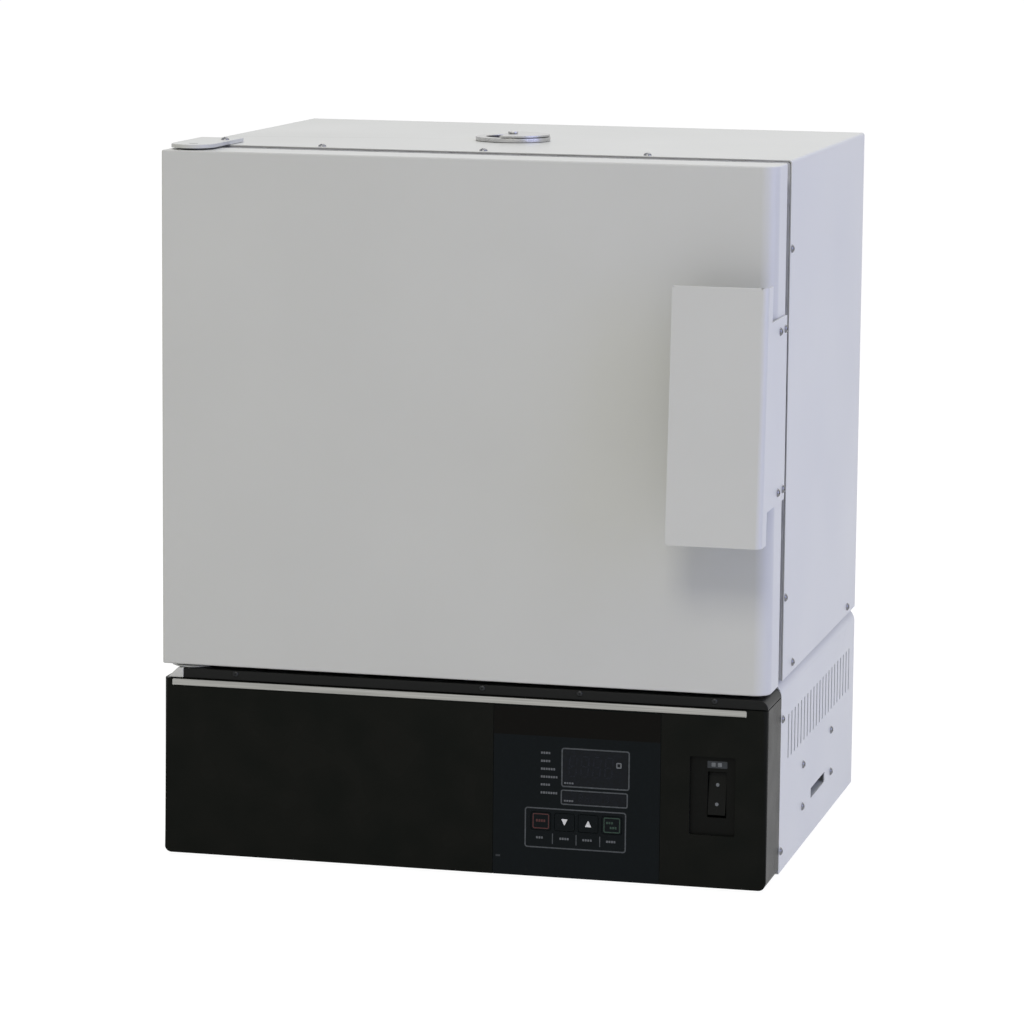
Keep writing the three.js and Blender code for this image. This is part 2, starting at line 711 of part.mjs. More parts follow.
function rearPanel() {
  const plate = runBack(rounded(-insideWidth, insideWidth, frameBottom, frameTop,
    [0, 0, wrapperBend, wrapperBend]), rearFace - paintedSheet, rearFace, slotSteps);
  const tools = [];
  for (let i = 0; i < backVentCount; i += 1) {
    const x = (i - (backVentCount - 1) / 2) * backVentPitch;
    tools.push(runBack(rounded(x - ventWidth / 2, x + ventWidth / 2, frameTop - backVentDrop - backVentHeight,
      frameTop - backVentDrop, evenRadii(ventWidth / 2)), rearFace - paintedSheet - overrun,
    rearFace + overrun, slotSteps));
  }
  return cut(plate, ...tools);
}
place(cabinet, 'cabinet_rear_panel', rearPanel(), 'paint');

// Chamber liner: a welded stainless box, open at the front, with a narrow flange behind the frame.
const linerFront = cabinetFront + paintedSheet + seatGap;
const linerFlange = 12;
const linerRearInside = linerFront + chamberDepth;
const linerRear = linerRearInside + stainlessSheet;
const linerTop = mouthTop + stainlessSheet;
const ductInner = ductOuter - ductWall;
const heaterRadius = 4;
const heaterInset = 30;
const heaterX = chamberWidth / 2 - heaterInset;
const heaterRise = 14;
const heaterZ = mouthBottom + heaterRise;
const probeRadius = 2.4;
const probeDrop = 28;
const probePlaces = [
  { name: 'control_probe', inset: 90, reach: 46 },
  { name: 'overheat_probe', inset: 58, reach: 34 },
];

// Round holes through the liner's rear and the insulation behind it, wider by the given amount.
function rearHoles(grow, y0, y1) {
  const holes = [-1, 1].map((side) => lengthwise(heaterRadius + grow, side * heaterX, heaterZ, y0, y1,
    roundSteps / 2));
  for (const { inset } of probePlaces) {
    holes.push(lengthwise(probeRadius + grow, chamberWidth / 2 - inset, mouthTop - probeDrop, y0, y1,
      roundSteps / 2));
  }
  return holes;
}

function chamberLiner() {
  const left = mouthLeft - stainlessSheet;
  const shell = box(left, -left, linerFront, linerRear, mouthBottom - stainlessSheet, linerTop);
  const flange = box(left - linerFlange, linerFlange - left, linerFront, linerFront + stainlessSheet,
    mouthBottom - stainlessSheet - linerFlange, linerTop + linerFlange);
  const inside = box(mouthLeft, -mouthLeft, linerFront - overrun, linerRearInside, mouthBottom, mouthTop);
  const ductHole = upright(ductInner, exhaustX, exhaustY, mouthTop - overrun, linerTop + overrun);
  return cut(join(shell, flange), inside, ductHole,
    ...rearHoles(seatGap, linerRearInside - overrun, linerRear + overrun));
}
place(cabinet, 'chamber_liner', chamberLiner(), 'stainless');

// Chamber insulation: one block of mineral wool that fills the cabinet around and behind the liner.
const wiringSpace = 38;
const insulationRear = floorRear - wiringSpace;

function chamberInsulation() {
  const side = insideWidth - paintedSheet - runningGap;
  const low = frameBottom + paintedSheet + runningGap;
  const block = box(-side, side, linerFront + stainlessSheet + seatGap, insulationRear, low,
    frameTop - paintedSheet - runningGap);
  const left = mouthLeft - stainlessSheet - seatGap;
  const pocket = box(left, -left, linerFront - overrun, linerRear + seatGap,
    mouthBottom - stainlessSheet - seatGap, linerTop + seatGap);
  const ductHole = upright(ductOuter + seatGap, exhaustX, exhaustY, linerTop, cabinetTop + overrun);
  return cut(block, pocket, ductHole, ...rearHoles(seatGap, linerRear, insulationRear + overrun));
}
place(cabinet, 'chamber_insulation', chamberInsulation(), 'wool');

// Exhaust duct: a tube from the chamber's top up through the wrapper.
const ductRing = [
  new THREE.Vector2(ductInner, linerTop + seatGap),
  new THREE.Vector2(ductOuter, linerTop + seatGap),
  new THREE.Vector2(ductOuter, cabinetTop),
  new THREE.Vector2(ductInner, cabinetTop),
  new THREE.Vector2(ductInner, linerTop + seatGap),
];
const ductTube = new THREE.LatheGeometry(ductRing, roundSteps).rotateX(Math.PI / 2);
place(cabinet, 'exhaust_duct', ductTube, 'stainless').position.set(exhaustX, exhaustY, 0);

// Exhaust ring: a turned collar on the cabinet's top. Half its bore is closed by a web that
// carries the damper's pin.
const ringRadius = 33;
const ringHeight = 3.6;
const ringBottom = cabinetTop + seatGap;
const ringTop = ringBottom + ringHeight;
const webThickness = 1.4;
const damperPin = 2.6;
const damperThickness = 1.5;
const damperRadius = 32.6;
const damperLift = 0.7;
const damperCover = 4;
const pinHead = 4.4;
const pinHeadHeight = 1.8;
const damperBottom = ringTop + damperLift;
const damperTop = damperBottom + damperThickness;

function exhaustRing() {
  const collar = cut(upright(ringRadius, 0, 0, ringBottom, ringTop, roundSteps * 2),
    upright(ductInner, 0, 0, ringBottom - overrun, ringTop + overrun, roundSteps));
  const disc = upright(ductInner + overrun, 0, 0, ringTop - webThickness, ringTop, roundSteps);
  const web = cut(disc, box(-ringRadius, -damperCover, -ringRadius, ringRadius, ringBottom,
    ringTop + overrun));
  const pin = upright(damperPin, 0, 0, ringTop - webThickness, damperTop + seatGap + pinHeadHeight / 2);
  const head = upright(pinHead, 0, 0, damperTop + seatGap, damperTop + seatGap + pinHeadHeight, roundSteps);
  return join(collar, web, pin, head);
}
place(cabinet, 'exhaust_ring', exhaustRing(), 'stainless').position.set(exhaustX, exhaustY, 0);

// Exhaust damper: a half disc that turns half a turn on the ring's pin to close the open half.
const damperBoss = 6.4;

function exhaustDamper() {
  const disc = upright(damperRadius, 0, 0, damperBottom, damperTop, roundSteps * 2);
  const half = cut(disc, box(-ringRadius - overrun, -damperCover - seatGap, -ringRadius - overrun,
    ringRadius + overrun, damperBottom - overrun, damperTop + overrun));
  const boss = upright(damperBoss, 0, 0, damperBottom, damperTop);
  const bore = upright(damperPin + runningFit, 0, 0, damperBottom - overrun, damperTop + overrun);
  return cut(join(half, boss), bore);
}
place(cabinet, 'exhaust_damper', exhaustDamper(), 'stainless').position.set(exhaustX, exhaustY, 0);

// Heater: a sheathed element bent into four runs over the chamber floor, its ends going out at
// the rear. The curve runs along straights and half turns, all of one radius.
const heaterRuns = 4;
const heaterMargin = 18;
const heaterStub = 6;
const heaterTurn = heaterX / (heaterRuns - 1);
const heaterFront = linerFront + heaterMargin + heaterTurn;
const heaterBack = linerRearInside - heaterMargin - heaterTurn;
const heaterEnd = insulationRear + heaterStub;

class HeaterCurve extends THREE.Curve {
  constructor() {
    super();
    this.pieces = [];
    for (let run = 0; run < heaterRuns; run += 1) {
      const forward = run % 2 === 0;
      const x = -heaterX + run * heaterTurn * 2;
      const last = run === heaterRuns - 1;
      const rear = run === 0 || last ? heaterEnd : heaterBack;
      this.addStraight(x, forward ? rear : heaterFront, forward ? heaterFront : rear);
      if (last) break;
      this.addTurn(x + heaterTurn, forward ? heaterFront : heaterBack, forward ? -1 : 1);
    }
    this.total = this.pieces.reduce((sum, piece) => sum + piece.length, 0);
  }

  addStraight(x, y0, y1) {
    this.pieces.push({ length: Math.abs(y1 - y0), at: (s) => [x, y0 + (y1 - y0) * s] });
  }

  addTurn(x, y, side) {
    this.pieces.push({
      length: Math.PI * heaterTurn,
      at: (s) => [x - heaterTurn * Math.cos(Math.PI * s), y + side * heaterTurn * Math.sin(Math.PI * s)],
    });
  }

  getPoint(t, target = new THREE.Vector3()) {
    let left = t * this.total;
    let found = this.pieces[this.pieces.length - 1];
    let share = 1;
    for (const piece of this.pieces) {
      if (left <= piece.length) {
        found = piece;
        share = left / piece.length;
        break;
      }
      left -= piece.length;
    }
    const [x, y] = found.at(share);
    return target.set(x, y, heaterZ);
  }
}

const wireSides = 8;
const heaterSteps = 84;
const heaterSection = new THREE.Shape();
heaterSection.absarc(0, 0, heaterRadius, 0, Math.PI * 2, false);
place(cabinet, 'heater_element', new THREE.ExtrudeGeometry(heaterSection, {
  extrudePath: new HeaterCurve(), steps: heaterSteps, curveSegments: wireSides / 2, bevelEnabled: false,
}), 'steel');

// Heater terminals: a ceramic strip behind the insulation, bored for the two ends of the heater.
const terminalThickness = 12;
const terminalMargin = 14;
const terminalStart = insulationRear + seatGap;

function heaterTerminals() {
  const outline = rounded(-heaterX - terminalMargin, heaterX + terminalMargin, heaterZ - terminalMargin,
    heaterZ + terminalMargin, evenRadii(terminalMargin / 2));
  const strip = runBack(outline, terminalStart, terminalStart + terminalThickness);
  const bores = [-1, 1].map((side) => lengthwise(heaterRadius + seatGap, side * heaterX, heaterZ,
    terminalStart - overrun, terminalStart + terminalThickness + overrun, roundSteps / 2));
  return cut(strip, ...bores);
}
place(cabinet, 'heater_terminals', heaterTerminals(), 'ceramic');

// Heater cover: a slotted stainless shelf over the heater that stands on its folded sides.
const coverRise = 26;
const coverSide = 3;
const coverInsetFront = 6;
const coverInsetRear = 8;
const coverSlotRows = 3;
const coverSlotCount = 12;
const coverSlotWidth = 6;
const coverSlotShare = 0.78;

function heaterCover() {
  const left = mouthLeft + coverSide;
  const front = linerFront + coverInsetFront;
  const rear = linerRearInside - coverInsetRear;
  const low = mouthBottom + seatGap;
  const high = mouthBottom + coverRise;
  const outer = box(left, -left, front, rear, low, high);
  const inside = box(left + stainlessSheet, -left - stainlessSheet, front - overrun, rear + overrun,
    low - overrun, high - stainlessSheet);
  const rowDepth = (rear - front) / coverSlotRows;
  const pitch = (left * -2) / (coverSlotCount + 1);
  const slots = [];
  for (let row = 0; row < coverSlotRows; row += 1) {
    const middle = front + rowDepth * (row + 1 / 2);
    const reach = (rowDepth * coverSlotShare) / 2;
    for (let i = 1; i <= coverSlotCount; i += 1) {
      const x = left + i * pitch;
      slots.push(box(x - coverSlotWidth / 2, x + coverSlotWidth / 2, middle - reach, middle + reach,
        high - stainlessSheet - overrun, high + overrun));
    }
  }
  return cut(outer, inside, ...slots);
}
place(cabinet, 'heater_cover', heaterCover(), 'stainless');

// Probes: sheathed sensors that enter through the chamber's rear wall.
for (const { name, inset, reach } of probePlaces) {
  place(cabinet, name, lengthwise(probeRadius, chamberWidth / 2 - inset, mouthTop - probeDrop,
    linerRearInside - reach, insulationRear + wiringSpace / 2, roundSteps / 2), 'stainless');
}

// Shelf rails: a sheet on each chamber wall with two ledges that carry the shelves.
const railSheetHeight = 140;
const ledgeWidth = 11;
const ledgeRises = [74, 150];
const railInsetFront = 14;
const railInsetRear = 10;
const shelfRailFront = linerFront + railInsetFront;
const shelfRailRear = linerRearInside - railInsetRear;
const shelfRailOut = -mouthLeft - seatGap;

function shelfRail() {
  const low = mouthBottom + ledgeRises[0] - ledgeWidth;
  const sheet = box(shelfRailOut - stainlessSheet, shelfRailOut, shelfRailFront, shelfRailRear, low,
    low + railSheetHeight);
  const ledges = ledgeRises.map((rise) => box(shelfRailOut - stainlessSheet - ledgeWidth, shelfRailOut,
    shelfRailFront, shelfRailRear, mouthBottom + rise - stainlessSheet, mouthBottom + rise));
  return join(sheet, ...ledges);
}
placePair(cabinet, 'shelf_rail', shelfRail(), 'stainless');

// Shelves: welded wire racks, a heavy frame wire with lighter wires laid across it.
const shelfWire = 2.5;
const shelfRod = 1.5;
const shelfRods = 17;
const shelfDepth = 226;
const shelfSideGap = 1.2;
const shelfHalf = shelfRailOut - stainlessSheet - shelfSideGap - shelfWire;
const shelfRear = linerRearInside - runningGap * 2 - shelfWire;
const rodSides = 6;
const shelfNames = ['shelf_lower', 'shelf_upper'];

function wireShelf() {
  const front = shelfRear - shelfDepth;
  const parts = [
    crosswise(shelfWire, front, 0, -shelfHalf, shelfHalf, wireSides),
    crosswise(shelfWire, shelfRear, 0, -shelfHalf, shelfHalf, wireSides),
    lengthwise(shelfWire, -shelfHalf, 0, front, shelfRear, wireSides),
    lengthwise(shelfWire, shelfHalf, 0, front, shelfRear, wireSides),
  ];
  for (const x of [-shelfHalf, shelfHalf]) {
    for (const y of [front, shelfRear]) {
      parts.push(upright(shelfWire, x, y, -shelfWire, shelfWire, wireSides));
    }
  }
  const pitch = (shelfHalf * 2) / (shelfRods + 1);
  for (let i = 1; i <= shelfRods; i += 1) {
    parts.push(lengthwise(shelfRod, -shelfHalf + i * pitch, shelfWire / 2, front, shelfRear, rodSides));
  }
  return join(...parts);
}
shelfNames.forEach((name, i) => {
  const wireCentre = mouthBottom + ledgeRises[i] + seatGap + shelfWire;
  place(cabinet, name, wireShelf(), 'stainless').position.z = wireCentre;
});

// Door: its outer shell is a pan, open at the rear. Its front edge is tight on the hinge side, where
// it overhangs the cabinet a little, and well rounded on the handle side.
const doorDrop = 1.5;
const doorTopDrop = 1.1;
const doorOverhang = 1.5;
const doorBottom = cabinetBottom - doorDrop;
const doorTop = cabinetTop - doorTopDrop;
const doorLeft = -halfWidth - doorOverhang;
const doorHingeRadius = 2;
const doorHandleRadius = 14;
const doorLipRadius = 2.5;
const hingeInset = 20;
const hingeY = 22;
const hingeX = -halfWidth + hingeInset;
const pinRadius = 4;
const bushWall = 3;
const bushFlangeWidth = 3;
const bushLength = 14;
const bushInner = pinRadius + runningFit;
const bushOuter = pinRadius + bushWall;
const bushFlange = bushOuter + bushFlangeWidth;

function doorShell() {
  const plan = raise(rounded(doorLeft, halfWidth, 0, doorThickness,
    [doorHingeRadius, doorHandleRadius, 0, 0]), doorBottom, doorTop);
  const side = runAcross(rounded(0, doorThickness, doorBottom, doorTop, [doorLipRadius, 0, 0, doorLipRadius]),
    doorLeft - overrun, halfWidth + overrun, slotSteps);
  const inside = raise(rounded(doorLeft + paintedSheet, halfWidth - paintedSheet, paintedSheet,
    doorThickness + overrun, [doorHingeRadius - paintedSheet, doorHandleRadius - paintedSheet, 0, 0]),
  doorBottom + paintedSheet, doorTop - paintedSheet);
  const hole = upright(bushOuter + seatGap, hingeX, hingeY, doorBottom - overrun, doorTop + overrun);
  return cut(common(plan, side), inside, hole);
}

place(door, 'door_shell', doorShell(), 'paint');

// Hinge bushes: flanged steel sleeves pressed into the shell's top and bottom.
const bushFlangeThickness = 0.9;

function hingeBush() {
  const profile = [
    new THREE.Vector2(bushInner, -bushLength),
    new THREE.Vector2(bushOuter, -bushLength),
    new THREE.Vector2(bushOuter, seatGap),
    new THREE.Vector2(bushFlange, seatGap),
    new THREE.Vector2(bushFlange, seatGap + bushFlangeThickness),
    new THREE.Vector2(bushInner, seatGap + bushFlangeThickness),
    new THREE.Vector2(bushInner, -bushLength),
  ];
  return new THREE.LatheGeometry(profile, roundSteps).rotateX(Math.PI / 2);
}
place(door, 'upper_hinge_bush', hingeBush(), 'steel').position.set(hingeX, hingeY, doorTop);
const lowerBush = place(door, 'lower_hinge_bush', hingeBush(), 'steel');
lowerBush.position.set(hingeX, hingeY, doorBottom);
lowerBush.rotation.x = Math.PI;

// Upper hinge: a plate on the cabinet's top that reaches over the door, and its pin.
const hingeHalf = 19;
const upperPlateSeat = 0.9;
const upperPlateThickness = 3.1;
const upperPlateReach = 38;
const upperPlateRear = cabinetFront + upperPlateReach;
const bushTopGap = 0.4;
const plateNoseBottom = doorTop + seatGap + bushFlangeThickness + bushTopGap;
const plateTop = plateNoseBottom + upperPlateThickness;

// A plate outline with a round nose around the hinge axis, run back to the given plane.
function hingeNose(rear) {
  const shape = new THREE.Shape();
  shape.moveTo(hingeX - hingeHalf, rear);
  shape.lineTo(hingeX - hingeHalf, hingeY);
  shape.absarc(hingeX, hingeY, hingeHalf, Math.PI, Math.PI * 2, false);
  shape.lineTo(hingeX + hingeHalf, rear);
  return shape;
}

function upperHingePlate() {
  const plate = raise(hingeNose(upperPlateRear), cabinetTop + seatGap, plateTop);
  const relief = box(hingeX - hingeHalf - overrun, hingeX + hingeHalf + overrun, -halfWidth,
    cabinetFront + upperPlateSeat, cabinetTop - overrun, plateNoseBottom);
  const pinHole = upright(pinRadius + seatGap, hingeX, hingeY, cabinetTop, plateTop + overrun);
  return cut(plate, relief, pinHole);
}
place(cabinet, 'upper_hinge_plate', upperHingePlate(), 'paint');
const upperPin = upright(pinRadius, hingeX, hingeY, doorTop - bushLength, plateTop);
place(cabinet, 'upper_hinge_pin', upperPin, 'steel');

// Lower hinge: a painted end block on the base, its outer end sloping in, a painted leaf on top of
// it, and its pin.
const blockToe = 3;
const blockSlope = 8.5;
const leafThickness = 1.6;
const leafBottom = railTop + seatGap;
const leafTop = leafBottom + leafThickness;

function lowerHingeBlock() {
  const toe = -halfWidth + blockToe;
  const shape = new THREE.Shape();
  shape.moveTo(toe, railBottom);
  shape.lineTo(railLeft - seatGap, railBottom);
  shape.lineTo(railLeft - seatGap, railTop);
  shape.lineTo(toe + blockSlope, railTop);
  return runBack(shape, railFront, bezelReturn);
}
place(base, 'lower_hinge_block', lowerHingeBlock(), 'paint');
place(base, 'lower_hinge_leaf', cut(raise(hingeNose(bezelReturn), leafBottom, leafTop),
  upright(pinRadius + seatGap, hingeX, hingeY, leafBottom - overrun, leafTop + overrun)), 'paint');
const lowerPin = upright(pinRadius, hingeX, hingeY, leafBottom, doorBottom + bushLength);
place(base, 'lower_hinge_pin', lowerPin, 'steel');

// Door back panel: sheet let into the shell's open rear.
const backPanelInset = 0.5;
const backPanelRear = doorThickness - backPanelInset;
const backPanelFront = backPanelRear - paintedSheet;
const backPanelSide = paintedSheet + seatGap;
place(door, 'door_back_panel', box(doorLeft + backPanelSide, halfWidth - backPanelSide,
  backPanelFront, backPanelRear, doorBottom + backPanelSide, doorTop - backPanelSide), 'charcoal');

// Door insulation: a wool slab inside the shell, relieved around the hinge bushes.
const slabInset = 1;
const slabSide = halfWidth - doorHandleRadius;
const bushRelief = 3;
place(door, 'door_insulation', cut(
  box(-slabSide, slabSide, paintedSheet + seatGap, backPanelFront - seatGap,
    doorBottom + paintedSheet + slabInset, doorTop - paintedSheet - slabInset),
  upright(bushOuter + bushRelief, hingeX, hingeY, doorTop - bushLength - bushRelief, doorTop),
  upright(bushOuter + bushRelief, hingeX, hingeY, doorBottom, doorBottom + bushLength + bushRelief)), 'wool');

// Door inner pan: the raised stainless plate that faces the chamber, hollow towards the door.
const panSideShare = 0.45;
const panMargin = 52;
const panDepth = 14;
const panCorner = 12;
const panHalf = chamberWidth / 2 + (halfWidth - chamberWidth / 2) * panSideShare;
const panBottom = mouthBottom - panMargin;
const panTop = mouthTop + panMargin;
const panFront = doorThickness + seatGap;
const panRear = panFront + panDepth;

// The pan's rectangle drawn in by an inset, with a corner radius of its own.
function panOutline(inset, radius) {
  return rounded(-panHalf + inset, panHalf - inset, panBottom + inset, panTop - inset, evenRadii(radius));
}
place(door, 'door_inner_pan', cut(runBack(panOutline(0, panCorner), panFront, panRear),
  runBack(panOutline(stainlessSheet, panCorner - stainlessSheet), panFront - overrun,
    panRear - stainlessSheet)), 'stainless');

// Door gasket: a braided glass-fibre ring on the pan that seals against the front frame.
const gasketWidth = 11;
const gasketInset = 20;
const gasketSqueeze = cabinetFront - panRear - seatGap * 2;
place(door, 'door_gasket', cut(
  runBack(panOutline(gasketInset, panCorner), panRear + seatGap, panRear + seatGap + gasketSqueeze),
  runBack(panOutline(gasketInset + gasketWidth, panCorner / 2), panFront, cabinetFront + overrun)), 'fibre');

// Door catch: a magnet block on the front frame that holds the door's back panel.
const catchWidth = 14;
const catchHeight = 48;
const catchInset = 16;
place(cabinet, 'door_magnet', box(halfWidth - catchInset - catchWidth, halfWidth - catchInset,
  doorThickness + seatGap, cabinetFront - seatGap, chamberCentreZ - catchHeight / 2,
  chamberCentreZ + catchHeight / 2), 'rubber');

// Door handle: one bent sheet. Its front plate stands off further at the bottom than at the top.
// Its right edge folds back, and in the middle it runs on as a flange on the door's side.
const handleSheet = 1.6;
const handleWidth = 80.2;
const handleHeight = 213;
const handleRise = 134;
const handleReachTop = 43;
const handleReachBottom = 58;
const handleBend = 6;
const handleReturn = 22.5;
const handleLowCorner = 3;
const handleHighCorner = 1.5;
const flangeLowInset = 27.2;
const flangeHighInset = 30.1;
const flangeCorner = 3;
const handleOut = halfWidth + runningGap + handleSheet;
const handleLeft = handleOut - handleWidth;
const handleBottom = doorBottom + handleRise;
const handleTop = handleBottom + handleHeight;
const handleSlope = (handleReachBottom - handleReachTop) / handleHeight;

// How far forward the handle's face stands at a height.
function handleFace(z) {
  return -handleReachBottom + handleSlope * (z - handleBottom);
}

function doorHandle() {
  const bendIn = handleBend - handleSheet;
  const depth = handleReachBottom + doorThickness;
  const plan = new THREE.Shape();
  plan.moveTo(handleLeft, 0);
  plan.lineTo(handleOut - handleBend, 0);
  plan.absarc(handleOut - handleBend, handleBend, handleBend, -Math.PI / 2, 0, false);
  plan.lineTo(handleOut, depth);
  plan.lineTo(handleOut - handleSheet, depth);
  plan.lineTo(handleOut - handleSheet, handleBend);
  plan.absarc(handleOut - handleBend, handleBend, bendIn, 0, -Math.PI / 2, true);
  plan.lineTo(handleLeft, handleSheet);
  const sheet = raise(plan, handleBottom, handleTop);
  sheet.applyMatrix4(new THREE.Matrix4().set(
    1, 0, 0, 0,
    0, 1, handleSlope, handleFace(0),
    0, 0, 1, 0,
    0, 0, 0, 1));
  const front = runBack(rounded(handleLeft, handleOut + overrun, handleBottom, handleTop,
    [handleLowCorner, 0, 0, handleHighCorner]), -handleReachBottom - overrun, doorThickness + overrun);
  const flangeBottom = handleBottom + flangeLowInset;
  const flangeTop = handleTop - flangeHighInset;
  const profile = new THREE.Shape();
  profile.moveTo(-handleReachBottom - overrun, handleBottom - overrun);
  profile.lineTo(handleFace(handleBottom) + handleReturn, handleBottom - overrun);
  profile.lineTo(handleFace(flangeBottom) + handleReturn, flangeBottom);
  profile.lineTo(doorThickness - flangeCorner, flangeBottom);
  profile.absarc(doorThickness - flangeCorner, flangeBottom + flangeCorner, flangeCorner, -Math.PI / 2, 0,
    false);
  profile.lineTo(doorThickness, flangeTop - flangeCorner);
  profile.absarc(doorThickness - flangeCorner, flangeTop - flangeCorner, flangeCorner, 0, Math.PI / 2, false);
  profile.lineTo(handleFace(flangeTop) + handleReturn, flangeTop);
  profile.lineTo(handleFace(handleTop) + handleReturn, handleTop + overrun);
  profile.lineTo(-handleReachBottom - overrun, handleTop + overrun);
  return common(common(sheet, front), runAcross(profile, handleLeft - overrun, handleOut + overrun));
}
place(door, 'door_handle', doorHandle(), 'paint');

// The oven's origin is the middle of its footprint on the bench, so the groups move together.
const rearReach = rearFace + glandProud;
oven.position.set(-(doorLeft + handleOut) / 2, (handleReachBottom - rearReach) / 2, 0);

export default oven;
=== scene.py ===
import math

import bmesh
import bpy
from mathutils import Matrix, Vector


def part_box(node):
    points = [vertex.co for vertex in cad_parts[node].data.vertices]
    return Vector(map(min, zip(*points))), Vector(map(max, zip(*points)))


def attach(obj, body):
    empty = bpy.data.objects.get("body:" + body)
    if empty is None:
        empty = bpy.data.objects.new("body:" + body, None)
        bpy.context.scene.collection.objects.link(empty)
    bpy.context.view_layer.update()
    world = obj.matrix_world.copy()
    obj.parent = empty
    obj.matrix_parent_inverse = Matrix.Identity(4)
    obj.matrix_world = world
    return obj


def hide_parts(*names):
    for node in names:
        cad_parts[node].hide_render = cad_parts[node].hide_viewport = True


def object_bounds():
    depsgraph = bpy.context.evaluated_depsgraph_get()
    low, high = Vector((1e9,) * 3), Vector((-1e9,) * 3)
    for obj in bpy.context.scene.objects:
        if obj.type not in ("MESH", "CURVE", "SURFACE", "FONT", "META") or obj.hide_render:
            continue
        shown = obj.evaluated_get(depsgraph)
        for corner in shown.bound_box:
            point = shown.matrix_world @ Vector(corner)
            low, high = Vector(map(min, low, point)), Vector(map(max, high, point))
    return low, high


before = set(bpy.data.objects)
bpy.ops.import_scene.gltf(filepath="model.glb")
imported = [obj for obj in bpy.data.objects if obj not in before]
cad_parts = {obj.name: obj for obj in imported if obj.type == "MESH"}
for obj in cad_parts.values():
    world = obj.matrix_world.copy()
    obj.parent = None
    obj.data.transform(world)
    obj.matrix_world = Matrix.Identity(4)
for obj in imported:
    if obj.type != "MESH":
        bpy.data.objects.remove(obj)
cad_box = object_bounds()
scene = bpy.context.scene
MM = 0.001

# Camera. The photograph was taken from in front of the oven, to its right and a little above it,
# with a long lens. The shift frames the oven in the picture as the photograph does.
IMAGE_SIDE = 1024
CAMERA_PLACE = Vector((0.8878, -3.6132, 0.8671))
CAMERA_TURN = math.radians(13.174)
CAMERA_DIP = math.radians(8.249)
CAMERA_ROLL = math.radians(0.626)
CAMERA_FOCUS = 4231.5
CAMERA_REACH = 100
VIEW_CENTRE = (564.8, 465.4)


def add_object(name, data):
    """A new object in the scene."""
    made = bpy.data.objects.new(name, data)
    scene.collection.objects.link(made)
    return made


lens = bpy.data.cameras.new("photo_lens")
lens.lens = CAMERA_FOCUS * lens.sensor_width / IMAGE_SIDE
lens.shift_x = 0.5 - VIEW_CENTRE[0] / IMAGE_SIDE
lens.shift_y = VIEW_CENTRE[1] / IMAGE_SIDE - 0.5
lens.clip_end = CAMERA_REACH
camera = add_object("photo_camera", lens)
camera.matrix_world = (
    Matrix.Translation(CAMERA_PLACE)
    @ Matrix.Rotation(CAMERA_TURN, 4, "Z")
    @ Matrix.Rotation(math.pi / 2 - CAMERA_DIP, 4, "X")
    @ Matrix.Rotation(CAMERA_ROLL, 4, "Z")
)
scene.camera = camera
scene.view_settings.view_transform = "Standard"


# Studio. A plain pale floor runs out to a white surround. Both look white to the camera and in
# reflections, and the floor keeps part of its own shading, so that the oven's shadow stays on it.
def linear(code):
    """An sRGB hex colour as linear red, green, blue and alpha."""
    parts = [int(code[i:i + 2], 16) / 255 for i in (1, 3, 5)]
    return [*(c / 12.92 if c <= 0.04045 else ((c + 0.055) / 1.055) ** 2.4 for c in parts), 1.0]


def add_node(tree, kind, inputs=None, **settings):
    """A new node with its settings, its input values and its input links. A node that is given as
    an input is linked by its first output."""
    made = tree.nodes.new(kind)
    for name, value in settings.items():
        setattr(made, name, value)
    for name, value in (inputs or {}).items():
        given = value if isinstance(value, list) else [value]
        given = [one.outputs[0] if isinstance(one, bpy.types.Node) else one for one in given]
        if isinstance(given[0], bpy.types.NodeSocket):
            for one in given:
                tree.links.new(one, made.inputs[name])
        else:
            made.inputs[name].default_value = value
    return made


def emptied(owner):
    """The node tree of a world or a material, with nothing in it."""
    owner.use_nodes = True
    owner.node_tree.nodes.clear()
    return owner.node_tree


def seen_directly(tree):
    """1 for rays from the camera and for mirror and glass rays, 0 for light on the oven."""
    path = add_node(tree, "ShaderNodeLightPath").outputs
    mirrored = add_node(tree, "ShaderNodeMath",
                        {0: path["Is Camera Ray"], 1: path["Is Glossy Ray"]}, operation="MAXIMUM")
    return add_node(tree, "ShaderNodeMath", {0: mirrored, 1: path["Is Transmission Ray"]},
                    operation="MAXIMUM")


FLOOR_SIDE = 60.0
FLOOR_COLOUR = "#e6e6e4"
FLOOR_SHADING_SHARE = 0.2
FLOOR_GLOW = 1.19
SURROUND_COLOUR = "#ecebeb"
SURROUND_LIGHT = 0.5

world = bpy.data.worlds.new("studio")
scene.world = world
tree = emptied(world)
fill = add_node(tree, "ShaderNodeBackground",
                {"Color": linear(SURROUND_COLOUR), "Strength": SURROUND_LIGHT})
white = add_node(tree, "ShaderNodeBackground", {"Color": linear("#ffffff"), "Strength": 1.0})
surround = add_node(tree, "ShaderNodeMixShader", {0: seen_directly(tree), 1: fill, 2: white})
add_node(tree, "ShaderNodeOutputWorld", {"Surface": surround})

floor_finish = bpy.data.materials.new("studio_floor")
tree = emptied(floor_finish)
matt = add_node(tree, "ShaderNodeBsdfDiffuse", {"Color": linear(FLOOR_COLOUR)})
glow = add_node(tree, "ShaderNodeEmission", {"Color": linear("#ffffff"), "Strength": FLOOR_GLOW})
glow_share = add_node(tree, "ShaderNodeMath",
                      {0: seen_directly(tree), 1: 1 - FLOOR_SHADING_SHARE}, operation="MULTIPLY")
pale = add_node(tree, "ShaderNodeMixShader", {0: glow_share, 1: matt, 2: glow})
add_node(tree, "ShaderNodeOutputMaterial", {"Surface": pale})

